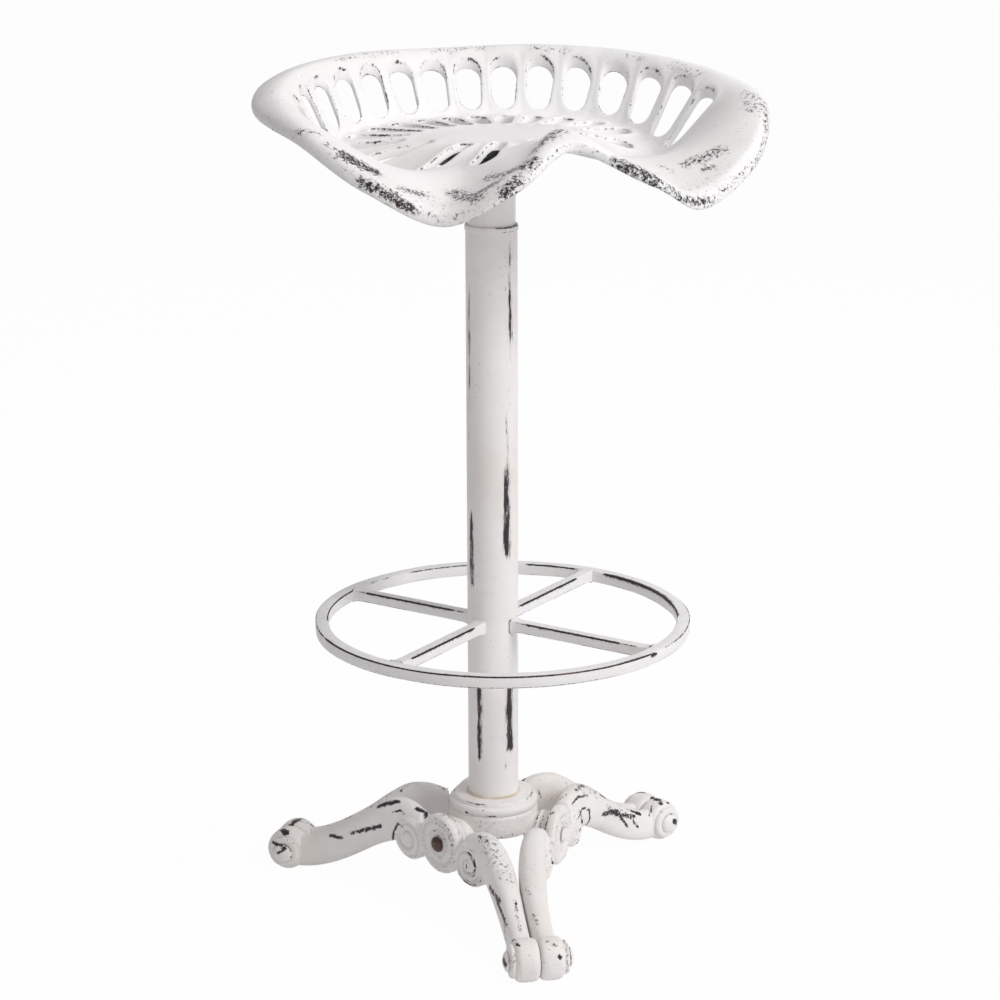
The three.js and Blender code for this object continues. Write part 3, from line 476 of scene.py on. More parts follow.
# the wall slots' ends as shares of the wall, from the back to the front
WALL_SLOT_LOW = (0.21, 0.21, 0.21, 0.21, 0.2, 0.16, 0.1, 0.06)
WALL_SLOT_HIGH = (0.76, 0.76, 0.76, 0.76, 0.76, 0.77, 0.79, 0.8)
# the long slots of the floor: angle, start and end in mm
LONG_SLOTS = ((86, 62, 116), (122, 47, 110), (152, 29, 120))
SLOT_ROUND, LIP_HEIGHT, LIP_WIDTH = 1.1, 1.6, 2.9


def slot_table():
    """One row for each slot: angle, start, end, inner and outer half width, inner and outer end round."""
    rows = []
    for side in (-1, 1):
        for k, (low, high) in enumerate(zip(WALL_SLOT_LOW, WALL_SLOT_HIGH)):
            turn = side * SLOT_PITCH * (k + 0.5)
            reach = pan_reach(turn)
            foot = round_the_seat(WALL_ANGLES, WALL_START, turn)
            run = round_the_seat(WALL_ANGLES, CREST, turn) - foot
            start, end = reach * (foot + low * run), reach * (foot + high * run)
            wide = (0.7 + 0.03 * max(0, k - 5)) * math.tan(math.radians(SLOT_PITCH / 2))
            rows.append([turn, start, end, start * wide, end * wide, 6.5, 6.5])
        for k in range(6):
            turn = side * SLOT_PITCH * (k + 0.5)
            foot = pan_reach(turn) * round_the_seat(WALL_ANGLES, WALL_START, turn)
            rows.append([turn, foot * 0.6, foot * 0.98, 5, 8, 5, 8])
        for turn, start, end in LONG_SLOTS:
            rows.append([side * turn, start, end, 5.5, 9.5, 5.5, 9.5])
    return np.array(rows, float)


SLOTS = slot_table()
print("slots", len(SLOTS))


def to_slot(x, y, slot):
    """A plan point seen from a slot: how far across its middle line, and how far out along it."""
    a = np.radians(slot[0])
    return x * np.cos(a) - y * np.sin(a), x * np.sin(a) + y * np.cos(a)


def slot_outline(across, along, slot, grow):
    """The point of a slot's outline nearest to each given point, with the outline grown outwards: straight
    across from the middle line, or round an ellipse past its ends."""
    low, high = slot[1] + slot[5], slot[2] - slot[6]
    middle = np.clip(along, low, high)
    half = slot[3] + (slot[4] - slot[3]) * (middle - low) / (high - low) + grow
    end = np.where(along > high, slot[6], slot[5]) + grow
    past = along - middle
    turn = np.arctan2(past / end, across / half)
    return half * np.cos(turn), middle + end * np.sin(turn)


def lip_height(x, y):
    """Raised lips: for each slot a bump (d e^(1 - d))^1.5 of the distance d from its edge in lip widths."""
    total = np.zeros_like(x)
    for slot in SLOTS:
        across, along = to_slot(x, y, slot)
        edge_x, edge_y = slot_outline(across, along, slot, 0.0)
        away = np.hypot(across - edge_x, along - edge_y) / LIP_WIDTH
        total = np.maximum(total, LIP_HEIGHT * away**1.5 * np.exp(1.5 - 1.5 * away))
    return total


# %% [markdown]
# ## The pan as patches
# Round each slot the grid's lines run from the edge of a cell to the slot's outline, over the lip and down
# through the wall to the underside, so the edge is rounded without any cutting. A point is a plan place and a
# side value: 1 on the top, -1 on the underside, and between them on an edge.

# %% Patches of the pan
ANGLE_STEP = 0.9
FLOOR_RINGS = np.linspace(0.18, 1, 19)
WALL_RINGS = np.linspace(1, 2, 19)
LOBE_RINGS = np.concatenate([FLOOR_RINGS, WALL_RINGS[1:7]])
RIM_ROUND = 3.0


def ring_share(turn, u):
    """Share of the reach for a ring number: 0 centre, 1 foot of the wall, 2 crest, 3 end of the roll."""
    foot = round_the_seat(WALL_ANGLES, WALL_START, turn)
    crest = round_the_seat(WALL_ANGLES, CREST, turn)
    end = 1 - 1.4 / pan_reach(turn)
    inside, wall, roll = (np.clip(u - start, 0, 1) for start in (0, 1, 2))
    return inside * foot + wall * (crest - foot) + roll * (end - crest)


def plan_point(turn, u):
    """Plan place of a ring point, with the angle measured from the back towards +X."""
    r = pan_reach(turn) * ring_share(turn, u)
    return r * np.sin(np.radians(turn)), r * np.cos(np.radians(turn))


def patch_turns(from_turn, to_turn):
    """Even angles from one side of a patch to the other."""
    return np.linspace(from_turn, to_turn, int(round((to_turn - from_turn) / ANGLE_STEP)) + 1)


def plain_patch(from_turn, to_turn, rings, side):
    """A grid of rings and angles on one side of the pan."""
    turn, u = np.meshgrid(patch_turns(from_turn, to_turn), rings)
    x, y = plan_point(turn, u)
    return np.stack([x, y, np.full_like(x, side)], -1)


EDGE_TURNS = np.radians(np.linspace(90, -90, 9))
EDGE_SIDE = np.sign(np.sin(EDGE_TURNS)) * np.abs(np.sin(EDGE_TURNS)) ** 0.75
EDGE_GROW = SLOT_ROUND * (1 - np.abs(np.cos(EDGE_TURNS)) ** 0.75)
EDGE_GROW[[0, -1]] = SLOT_ROUND


def slot_patch(from_turn, to_turn, rings, slot):
    """Rings round one slot: from the cell's edge on the top to the slot's edge, round it, and back to the
    cell's edge underneath."""
    turns = patch_turns(from_turn, to_turn)
    rows, columns = len(rings) - 1, len(turns) - 1
    turn = np.concatenate([turns[:-1], np.full(rows, to_turn), turns[:0:-1], np.full(rows, from_turn)])
    u = np.concatenate([np.full(columns, rings[0]), rings[:-1], np.full(columns, rings[-1]), rings[:0:-1]])
    x, y = plan_point(turn, u)
    across, along = to_slot(x, y, slot)
    a = np.radians(slot[0])
    loops = []

    def loop(part, grow, side):
        edge_x, edge_y = slot_outline(across, along, slot, grow)
        p, q = across + (edge_x - across) * part, along + (edge_y - along) * part
        plan = [p * np.cos(a) + q * np.sin(a), -p * np.sin(a) + q * np.cos(a)]
        loops.append(np.stack(plan + [np.full_like(p, side)], -1))

    for part in (0, 0.25, 0.45, 0.62, 0.76, 0.88, 0.96):
        loop(part, SLOT_ROUND, 1)
    for grow, side in zip(EDGE_GROW, EDGE_SIDE):
        loop(1, grow, side)
    for part in (0.8, 0.45, 0):
        loop(part, SLOT_ROUND, -1)
    return np.stack(loops)


# %% All the patches, then their heights
def seat_patches():
    """Centre, floor, wall and roll, with a cell for each slot, and the rim's rounded edge."""
    # the table's second half is the right side: 8 slots of the wall, 6 of the floor, and the 3 long ones
    cells = []
    for rings, slots in ((FLOOR_RINGS, SLOTS[25:31]), (WALL_RINGS, SLOTS[17:25])):
        cells += [(k * SLOT_PITCH, (k + 1) * SLOT_PITCH, rings, slot) for k, slot in enumerate(slots)]
    cells += [(75.6, 104.4, FLOOR_RINGS, SLOTS[31]), (104.4, 137.7, FLOOR_RINGS, SLOTS[32])]
    cells += [(137.7, 166.5, LOBE_RINGS, SLOTS[33])]
    grids = []
    for low, high, rings, slot in cells:
        mirrored = np.concatenate([[-slot[0]], slot[1:]])
        grids.append((slot_patch(low, high, rings, slot), True))
        grids.append((slot_patch(-high, -low, rings, mirrored), True))
    # what the cells leave: from angle, to angle, rings
    plain = [
        (0, 360, np.linspace(0, FLOOR_RINGS[0], 7)), (166.5, 193.5, FLOOR_RINGS), (166.5, 193.5, WALL_RINGS),
        (100.8, 137.7, WALL_RINGS), (222.3, 259.2, WALL_RINGS), (137.7, 166.5, WALL_RINGS[6:]),
        (193.5, 222.3, WALL_RINGS[6:]), (0, 360, np.linspace(2, 3, 10)),
    ]
    for low, high, rings in plain:
        grids += [(plain_patch(low, high, rings, side), False) for side in (1, -1)]
    turn, around = np.meshgrid(np.linspace(0, 360, 401), np.radians(np.linspace(90, -90, 9)))
    reach = pan_reach(turn) * ring_share(turn, 3) + RIM_ROUND * np.cos(around)
    rim = np.stack([reach * np.sin(np.radians(turn)), reach * np.cos(np.radians(turn)), np.sin(around)], -1)
    grids.append((rim, False))
    return grids


def lift_patch(grid):
    """Turns plan places and side values into points: the underside plus the side's share of the thickness,
    with the lips added on the top."""
    x, y, side = grid[..., 0], grid[..., 1], grid[..., 2]
    turn = np.degrees(np.arctan2(x, y))
    share = np.hypot(x, y) / pan_reach(turn)
    top = pan_top(turn, share)
    deep = pan_thickness(turn, share)
    lip = lip_height(x, y) * (0.5 + 0.5 * side)
    z = top + lip - deep * (1 - side) / 2
    return np.stack([x, y - SEAT_FORWARD, z], -1)


# %% Bosses under the pan, and the finished seat
def turned_body(profile, steps=64, reach=1.0):
    """A body turned about Z: each (radius, height) of the profile carried round a circle, or round another
    outline whose reach is given at each step."""
    r, h = np.asarray(profile, float).T
    turn = np.linspace(0, 2 * np.pi, steps, endpoint=False)
    out = r[:, None] * reach
    return np.stack([out * np.cos(turn), out * np.sin(turn), np.repeat(h[:, None], steps, 1)], -1)


def soft_profile(corners, radius=1.0, steps=4, spacing=2.5):
    """Rounds a profile's corners with a parabola that starts and ends the radius away from each, and adds
    points along the straights so that shading stays even."""
    c = np.asarray(corners, float)
    into, out = c[:-2] - c[1:-1], c[2:] - c[1:-1]
    far_in, far_out = np.linalg.norm(into, axis=1), np.linalg.norm(out, axis=1)
    cut_in, cut_out = np.minimum(radius, far_in * 0.48), np.minimum(radius, far_out * 0.48)
    a = c[1:-1] + into / far_in[:, None] * cut_in[:, None]
    b = c[1:-1] + out / far_out[:, None] * cut_out[:, None]
    t = np.linspace(0, 1, steps + 1)[None, :, None]
    arcs = (1 - t) ** 2 * a[:, None] + 2 * t * (1 - t) * c[1:-1][:, None] + t * t * b[:, None]
    line = np.concatenate([c[:1], arcs.reshape(-1, 2), c[-1:]])
    step = np.linalg.norm(np.diff(line, axis=0), axis=1)
    way = np.concatenate([[0], np.cumsum(step)])
    counts = np.maximum(1, np.ceil(step / spacing)).astype(int)
    part = np.concatenate([np.arange(k) / k for k in counts])
    at = np.concatenate([way[:-1].repeat(counts) + part * step.repeat(counts), way[-1:]])
    return np.stack([np.interp(at, way, line[:, 0]), np.interp(at, way, line[:, 1])], -1)


BOSS = soft_profile([[0, 668.3], [10, 668.3], [10, 676], [13, 679], [0, 679]], 1.2)
boss_grids = [(turned_body(BOSS, 32) + np.array([x, y, 0]), True) for x in (-22, 22) for y in (-22, 22)]
pan_grids = [(lift_patch(grid), around) for grid, around in seat_patches()] + boss_grids
pan_grids = [(in_place(grid, SEAT_TURN), around) for grid, around in pan_grids]


def seat_wear(points):
    """Wear by the rim's own measures: a line under the front of the rim, a fainter one all round, a soft rub
    on the two lobes, and a thin line on the upper edge of each slot, stronger on one side."""
    local = turn_about_z(points - COLUMN_PLACE, -SEAT_TURN) + np.array([0, SEAT_FORWARD, 0])
    turn = np.degrees(np.arctan2(local[:, 0], local[:, 1]))
    share = np.hypot(local[:, 0], local[:, 1]) / pan_reach(turn)
    front = np.abs(turn)
    line = np.exp(-((share - 1.0) / 0.011) ** 2) * (0.15 + 0.2 * smooth_step((front - 118) / 16))
    lobes = 0.26 * np.exp(-((front - 148) / 24) ** 2) * np.exp(-((share - 0.93) / 0.07) ** 2)
    slots = np.zeros(len(local))
    for k, slot in enumerate(SLOTS):
        across, along = to_slot(local[:, 0], local[:, 1], slot)
        edge_x, edge_y = slot_outline(across, along, slot, 0.7)
        away = np.hypot(across - edge_x, along - edge_y)
        dash = smooth_step(0.5 + 0.9 * np.sin(0.3 * local[:, 0] + 0.23 * local[:, 1] + 2.1 * k))
        strength = 0.24 + dash * np.where(across > 0, 0.46, 0.28)
        slots = np.maximum(slots, strength * np.exp(-((away / 0.6) ** 2)))
    top = smooth_step((points[:, 2] - pan_top(turn, share) + 2.4) / 1.4)
    return np.maximum(np.maximum(line, lobes), slots * top)


make_piece("seat_pan_worn", pan_grids, "seat", seat_paint, seat_wear)

# %% [markdown]
# ## Column and neck
# The column is tube with a lip rolled outwards at its top. A narrower neck comes out of it and goes up to the
# mounting plate. Both are turned profiles, fine enough that no facet shows. The column is scuffed in long
# upright streaks, so its wear is placed by angle and height.

# %% Column and neck
COLUMN_R, COLUMN_BORE, COLUMN_FOOT, COLUMN_TOP = 22.2, 21, 60.3, 608
LIP_R, LIP_LOW, LIP_HIGH = 23, 603.6, 607.2
NECK_R, NECK_BORE, NECK_FOOT, NECK_TOP = 20.65, 19.15, 488, 661.7
column_profile = soft_profile([
    [COLUMN_BORE, COLUMN_FOOT], [COLUMN_R, COLUMN_FOOT], [COLUMN_R, 602.6], [LIP_R, LIP_LOW],
    [LIP_R, LIP_HIGH], [COLUMN_R, COLUMN_TOP], [COLUMN_BORE, COLUMN_TOP], [COLUMN_BORE, COLUMN_FOOT],
], 0.5, 4, 8)
neck_profile = soft_profile([
    [NECK_BORE, NECK_FOOT], [NECK_R, NECK_FOOT], [NECK_R, NECK_TOP], [NECK_BORE, NECK_TOP],
    [NECK_BORE, NECK_FOOT],
], 0.3, 2, 8)

# angle from the front towards +X, its spread, the streak's low and high end, and its strength
STREAKS = np.array([
    [44, 13, 495, 590, 0.45], [45, 9, 512, 548, 0.8], [34, 12, 322, 392, 0.8], [37, 8, 385, 465, 0.38],
    [-62, 14, 425, 553, 0.45], [-60, 8, 470, 545, 0.55], [-56, 10, 292, 350, 0.75], [-33, 9, 134, 196, 0.8],
    [41, 13, 142, 196, 0.8], [-55, 5, 351, 355, 0.9], [-52, 7, 119, 121, 0.9], [30, 4, 124, 126, 0.7],
    [150, 12, 420, 560, 0.65], [205, 10, 250, 380, 0.7], [110, 12, 150, 300, 0.45], [235, 13, 480, 590, 0.5],
    [170, 9, 110, 190, 0.75],
])


def column_wear(points):
    """Upright streaks: for each, a bell across the angle times a soft window up the height."""
    local = points - COLUMN_PLACE
    turn, height = np.degrees(np.arctan2(local[:, 0], -local[:, 1])), local[:, 2]
    total = np.zeros(len(points))
    for middle, spread, low, high, strength in STREAKS:
        off = (turn - middle + 180) % 360 - 180
        soft = min(14.0, 2.0 + (high - low) / 5)
        window = smooth_step((height - low + soft) / soft) * smooth_step((high + soft - height) / soft)
        total = np.maximum(total, strength * np.exp(-(off / spread) ** 2) * window)
    return total


column = in_place(turned_body(column_profile, 128))
make_piece("column_tube_worn", column, "base", tube_paint, column_wear)
make_piece("neck_tube_worn", in_place(turned_body(neck_profile, 128)), "seat", tube_paint)

# %% [markdown]
# ## Footrest
# The hoop is square bar bent to a ring, with rounded corners that have rubbed through to the steel. Four
# spokes are welded between it and the column. A weld is a small swelling at each end of a spoke.

# %% Hoop and spokes
def rounded_section(width, height, corner, steps=5):
    """A rectangle with round corners as a closed loop of (across, up) points."""
    turns = np.radians(np.linspace(0, 90, steps))
    arc = np.stack([np.cos(turns), np.sin(turns)], -1) * corner
    x, y = width / 2 - corner, height / 2 - corner
    back = arc[:, ::-1]
    loop = np.concatenate([arc + [x, y], back * [-1, 1] + [-x, y], -arc + [-x, -y], back * [1, -1] + [x, -y]])
    nxt = np.roll(loop, -1, 0)
    return np.stack([loop, (loop + nxt) / 2], 1).reshape(-1, 2)


HOOP_R, HOOP_MIDDLE, HOOP_SHIFT = 165.2, 253.55, 8.5
HOOP_WIDTH, HOOP_HEIGHT, SPOKE_WIDTH, SPOKE_HEIGHT = 11.5, 10.5, 10.5, 9.5
WOBBLE_ROOM = 0.4
HOOP_LINE_R = HOOP_R - HOOP_WIDTH / 2 - WOBBLE_ROOM
section = rounded_section(HOOP_WIDTH, HOOP_HEIGHT, 1.5)
turn = np.linspace(0, 2 * np.pi, 288, endpoint=False)
wobble = 0.25 * np.sin(7 * turn + 1) + 0.2 * np.sin(13 * turn)
radius = HOOP_LINE_R + section[:, 0][:, None] + wobble
level = HOOP_MIDDLE + np.repeat(section[:, 1][:, None], len(turn), 1)
hoop = np.stack([radius * np.cos(turn) + HOOP_SHIFT, radius * np.sin(turn), level], -1)
hoop = np.concatenate([hoop, hoop[:1]])

# corner (1 outer, -1 inner; 1 top, -1 bottom), from angle, to angle about the hoop's middle, reach, strength
HOOP_LINES = np.array([
    [1, 1, -158, -40, 1.0, 1.0], [1, 1, -28, 20, 0.8, 0.66], [1, 1, 172, 202, 0.8, 0.66],
    [-1, 1, 148, 186, 0.9, 0.85], [-1, 1, -2, 53, 1.5, 1.0], [-1, 1, 63, 82, 1.2, 0.85],
    [-1, 1, 100, 124, 0.9, 0.7], [1, -1, -168, -60, 0.8, 0.62], [1, 1, 205, 212, 0.9, 0.9],
])
CORNER_IN = 0.4


def edge_lines(across, up, turn, width, height, lines):
    """Wear along a bar's corners: strength e^-(d / reach)^4, where d is the distance from the corner."""
    total = np.zeros(len(across))
    for side, level, low, high, reach, strength in lines:
        away = np.hypot(across - side * (width / 2 - CORNER_IN), up - level * (height / 2 - CORNER_IN))
        off = (turn - (low + high) / 2 + 180) % 360 - 180
        window = smooth_step(((high - low) / 2 - np.abs(off)) / 4 + 0.5)
        total = np.maximum(total, strength * window * np.exp(-np.minimum(away / reach, 3) ** 4))
    return total


def hoop_wear(points):
    """Lines along the hoop's corners, and the open end of the weld that closes the ring."""
    local = points - COLUMN_PLACE - np.array([HOOP_SHIFT, 0, HOOP_MIDDLE])
    across, up = np.hypot(local[:, 0], local[:, 1]) - HOOP_LINE_R, local[:, 2]
    turn = np.degrees(np.arctan2(local[:, 1], local[:, 0]))
    weld = np.hypot((turn + 39) / 2.3, (up - 2.8) / 2.6) + 2 * (across < 4)
    return np.maximum(edge_lines(across, up, turn, HOOP_WIDTH, HOOP_HEIGHT, HOOP_LINES), np.exp(-weld**4))


make_piece("footrest_hoop_worn", in_place(hoop), "base", bar_paint, hoop_wear)


SPOKE_START, WELD_RUN, WELD_REACH, WELD_SWELL = 22, 14, 3, 0.35


def spoke_grid(angle):
    """A bar from the column to the hoop: the section carried along X, larger at both ends by the swell times
    e^-(d / reach) for the welds."""
    a = np.radians(angle)
    inner = HOOP_R - HOOP_WIDTH
    along = HOOP_SHIFT * np.cos(a)
    start, end = SPOKE_START, along + math.sqrt(along**2 + inner**2 - HOOP_SHIFT**2) + 0.3
    near, far = np.linspace(0, 1, 12) ** 1.5 * WELD_RUN, np.linspace(1, 0, 12) ** 1.5 * WELD_RUN
    x = np.concatenate([start + near, np.linspace(40, end - 16, 24), end - far])
    swell = 1 + WELD_SWELL * np.exp(-(x - start) / WELD_REACH) + WELD_SWELL * np.exp(-(end - x) / WELD_REACH)
    loop = rounded_section(SPOKE_WIDTH, SPOKE_HEIGHT, 1.4)
    across, up = loop[:, 0] * swell[:, None], HOOP_MIDDLE + loop[:, 1] * swell[:, None]
    points = np.stack([np.repeat(x[:, None], len(loop), 1), across, up], -1)
    caps = points.mean(1, keepdims=True).repeat(len(loop), 1)
    return turn_about_z(np.concatenate([caps[:1], points, caps[-1:]]), angle)


def spoke_wear(angle, side):
    """Lines along a spoke's corners, the strongest on its upper corner towards the front."""
    def wear(points):
        local = turn_about_z(points - COLUMN_PLACE, -angle)
        lines = [[side, 1, 36, 134, 1.2, 0.95], [side, -1, 90, 150, 0.8, 0.62], [-side, 1, 50, 96, 0.8, 0.62]]
        along, across, up = local[:, 0], local[:, 1], local[:, 2] - HOOP_MIDDLE
        return edge_lines(across, up, along, SPOKE_WIDTH, SPOKE_HEIGHT, lines)
    return wear


for k, side in enumerate((-1, 1, 1, -1)):
    angle = SPOKE_TURN + 90 * k
    make_piece(f"footrest_spoke_{k + 1}_worn", in_place(spoke_grid(angle)), "base", bar_paint,
               spoke_wear(angle, side))

# %% [markdown]
# ## Hub
# A turned drum with a flat collar round the column, and a bead of cream filler where the two meet. Three arms
# reach from it to the backs of the rosettes, each with three reeds. The drum and the arms are turned profiles
# that run into each other. The frame's hub has a foot below this, which the photograph doesn't show.

# %% Hub
HUB = soft_profile([
    [22.5, 64], [22.5, 94.2], [24.2, 94.8], [34.4, 94.2], [35.6, 93.0], [35.8, 91.0], [38.8, 89.6],
    [39.6, 87.0], [39.0, 83.9], [37.4, 82.8], [39.2, 81.2], [39.6, 70], [38.8, 63.8], [36, 61.4], [30, 60.6],
    [6.4, 60.4], [6.4, 61.8], [22.5, 62], [22.5, 64],
], 1.2, 4, 2.0)
ARM_START, REED_START, ARM_END, ARM_R, ARM_Z = 34, 42, 56.7, 16.8, 61


def arm_profile():
    """An arm with three reeds: a half sine wave for each between the drum and the rosette."""
    x = np.linspace(ARM_START, ARM_END, 60)
    part = np.clip((x - REED_START) / (ARM_END - REED_START), 0, 1)
    reed = np.abs(np.sin(np.pi * part * 3)) * (x > REED_START)
    profile = np.stack([ARM_R + 2.0 * reed**0.8, x], -1)
    return np.concatenate([[[0, ARM_START]], profile, [[0, ARM_END]]])


arm = lay_along_x(turned_body(arm_profile(), 64)) + np.array([0, 0, ARM_Z])
arms = [turn_about_z(arm, angle) for angle in CASTING_TURNS]
hub_grids = [(in_place(grid, BASE_TURN), True) for grid in [turned_body(HUB, 144)] + arms]
make_piece("base_hub_worn", hub_grids, "base", cast_paint)


def cream_filler():
    """Matt filler, blotched from cream to brown by a broad noise."""
    n = Nodes("cream_filler")
    tone = n.blend(n.ramp(n.noise(60, 4, 0.6), 0.4, 0.65), (0.76, 0.68, 0.58, 1), (0.60, 0.48, 0.37, 1))
    n.wire(tone, n.shader.inputs["Base Color"])
    n.shader.inputs["Roughness"].default_value = 0.6
    n.wire(n.bump(n.noise(300, 3), 0.0004, 0.5), n.shader.inputs["Normal"])
    return n.material


BEAD_R = 1.1
bead_turn = np.linspace(0, 2 * np.pi, 24, endpoint=False)
bead = np.stack([22.9 + BEAD_R * np.cos(bead_turn), 94.9 + BEAD_R * np.sin(bead_turn)], -1)
bead = turned_body(np.concatenate([bead, bead[:1]]), 128)
make_piece("column_foot_bead", in_place(bead), "base", cream_filler(), nodes=[])

# %% [markdown]
# ## Side castings
# Each casting is a rosette between two scrolls. From each scroll a bar leaps up, then runs down and outwards
# to a roll on the floor. The face forms are height maps on a disc: a ring of beads for the rosette, and for
# the scroll a groove that winds inwards as its radius shrinks with the angle.

# %% Disc faces
FACE_X = 67.0
FLAT_X = FACE_X - 2.2
EDGE_ROUND = 3.0
ROSETTE_R, ROSETTE_Z = 27, 59.5
SCROLL_R, SCROLL_OUT, SCROLL_Z = 20.5, 42, 53


def disc_body(radius, back, relief, steps=120, rings=44):
    """A disc along +X: its back, a rounded edge, and a face whose height is relief(radius, angle)."""
    turn = np.linspace(0, 2 * np.pi, steps, endpoint=False)
    edge = np.radians(np.linspace(0, 90, 6))
    rim_r = radius - EDGE_ROUND + EDGE_ROUND * np.cos(edge)
    rim_x = FLAT_X - EDGE_ROUND + EDGE_ROUND * np.sin(edge)
    face_r = np.linspace(radius - EDGE_ROUND, 0, rings)[1:]
    r = np.concatenate([[0, radius - 0.6, radius], rim_r[1:], face_r])
    x = np.concatenate([[back, back, back + 0.6], rim_x[1:], np.full(len(face_r), FLAT_X)])
    y, z = r[:, None] * np.cos(turn), r[:, None] * np.sin(turn)
    grid = np.stack([np.repeat(x[:, None], steps, 1), y, z], -1)
    on_face = smooth_step((radius - 1.0 - r) / 3.0)[:, None] * (np.arange(len(r)) > 3)[:, None]
    grid[..., 0] += on_face * relief(r[:, None], turn[None, :])
    return grid


def rosette_relief(r, turn):
    """A rounded rim, a ring of soft beads inside it, a shallow dish, and a raised ring round the bolt."""
    rim = 1.2 * np.exp(-((r - 24.4) / 1.3) ** 2)
    beads = 2.4 * np.exp(-((r - 20.4) / 2.0) ** 2) * (0.4 + 0.6 * np.cos(turn * 32))
    ring = 1.3 * np.exp(-((r - 12.6) / 1.7) ** 2)
    return rim + beads + ring - 0.6 * smooth_step((19 - r) / 3) + 0.5 * smooth_step((9 - r) / 2)


SCROLL_PITCH = 7.4


def scroll_relief(hand):
    """A band that winds inwards: the groove lies where r / pitch - angle / turn is a whole number."""
    def relief(r, turn):
        way = (r - 5.5) / SCROLL_PITCH - hand * (turn - 2.4) / (2 * np.pi)
        off = np.abs(way - np.round(way)) * SCROLL_PITCH
        groove = np.exp(-((off / 1.15) ** 2)) * smooth_step((r - 4.6) / 1.4) * smooth_step((18.6 - r) / 1.6)
        return 2.0 - 2.6 * groove + 0.7 * smooth_step((5.2 - r) / 2.4)
    return relief


# %% Bars and rolls
FOOT_REACH, ROLL_WIDTH, ROLL_GAP, ROLL_Z = 195.5, 25.4, 0.3, 17.7
LEAVE_HANDLE, ARRIVE_HANDLE, SQUARISH = 48, 52, 0.78
BAR_ALONG = np.array([0, 0.12, 0.25, 0.38, 0.5, 0.62, 0.74, 0.87, 1])
BAR_HEIGHT = 64 * np.array([0.96, 1, 0.97, 0.825, 0.645, 0.485, 0.355, 0.265, 0.25])
BAR_DEPTH = 18.9 * np.array([0.82, 1.02, 1.08, 1.02, 0.95, 0.9, 0.83, 0.75, 0.73])
BAR_WIDTH = 10.9 * np.array([0.8, 0.92, 1.04, 1.1, 1.02, 0.94, 0.9, 0.88, 0.86])


def along_bar(at, table):
    """Reads one of the bar's tables at shares of its length."""
    return read_table(at, BAR_ALONG, table, np.gradient(table, BAR_ALONG))


def roll_place(side):
    """The foot's outward direction seen from the casting, the way across it, and the roll's centre."""
    outward = np.array([0.5, side * math.sqrt(0.75)])
    inward = np.array([math.sqrt(0.75), -side * 0.5])
    return outward, inward, outward * FOOT_REACH + inward * (ROLL_WIDTH + ROLL_GAP) / 2


def bar_grid(side, around=88, rings=190):
    """The bar: a plan curve with four handles from scroll to roll, and along it an upright oval with squarish
    corners, sign times |cos| and |sin| to the power 0.78, whose height, depth and width come from tables."""
    outward, inward, centre = roll_place(side)
    centre = centre - inward * 2.0
    start = np.array([FACE_X - 3.5 - 9.2, side * 32])
    leave, arrive = start + [0, side * LEAVE_HANDLE], centre - outward * ARRIVE_HANDLE
    t = np.linspace(0, 1, 400)[:, None]
    plan = (1 - t) ** 3 * start + 3 * t * (1 - t) ** 2 * leave + 3 * t * t * (1 - t) * arrive + t**3 * centre
    way = np.concatenate([[0], np.cumsum(np.linalg.norm(np.diff(plan, axis=0), axis=1))])
    at = np.linspace(0, 1, rings)
    middle = np.stack([np.interp(at * way[-1], way, plan[:, k]) for k in (0, 1)], -1)
    ahead = np.gradient(middle, axis=0)
    ahead /= np.linalg.norm(ahead, axis=1)[:, None]
    across = np.stack([ahead[:, 1], -ahead[:, 0]], -1) * side
    turn = np.linspace(0, 2 * np.pi, around, endpoint=False)
    c, s = np.cos(turn), np.sin(turn)
    sideways, upward = np.sign(c) * np.abs(c) ** SQUARISH, np.sign(s) * np.abs(s) ** SQUARISH
    half_width, half_depth = along_bar(at, BAR_WIDTH), along_bar(at, BAR_DEPTH)
    xy = middle[:, None] + across[:, None] * (half_width[:, None] * sideways)[..., None]
    z = along_bar(at, BAR_HEIGHT)[:, None] + half_depth[:, None] * upward
    grid = np.concatenate([xy, np.maximum(z, 0.2)[..., None]], -1)
    caps = grid.mean(1, keepdims=True).repeat(around, 1)
    return np.concatenate([caps[:1], grid, caps[-1:]])


ROLL_PROFILE = soft_profile([
    [0, -12.7], [14.2, -12.7], [17.4, -11.2], [18.5, -7], [18.5, 1], [17.9, 5.4], [15.4, 7.7], [13.9, 8.1],
    [14.6, 9.3], [14.3, 11.2], [12.4, 12.7], [0, 12.7],
], 2.4, 6, 1.2)


def roll_grid(side):
    """A barrel turned about the line across the foot: full at the seam, a stepped ring at its outer end."""
    _, inward, centre = roll_place(side)
    grid = lay_along_x(turned_body(ROLL_PROFILE, 96))
    grid = turn_about_z(grid, np.degrees(math.atan2(inward[1], inward[0])))
    grid = grid + np.array([centre[0], centre[1], ROLL_Z])
    grid[..., 2] = np.maximum(grid[..., 2], 0.0)
    return grid


def casting_grids():
    """Rosette, scrolls, bars and rolls of one casting, in its own frame."""
    grids = [disc_body(ROSETTE_R, 57, rosette_relief) + np.array([0, 0, ROSETTE_Z])]
    for side in (-1, 1):
        scroll = disc_body(SCROLL_R, 53, scroll_relief(side)) + np.array([0, side * SCROLL_OUT, SCROLL_Z])
        grids += [scroll, bar_grid(side), roll_grid(side)]
    return grids


# %% The three castings
casting = casting_grids()
for angle, side_name in zip(CASTING_TURNS, ("left", "right", "back")):
    grids = [(in_place(turn_about_z(grid, angle), BASE_TURN), True) for grid in casting]
    make_piece(f"side_casting_{side_name}_worn", grids, "base", cast_paint)
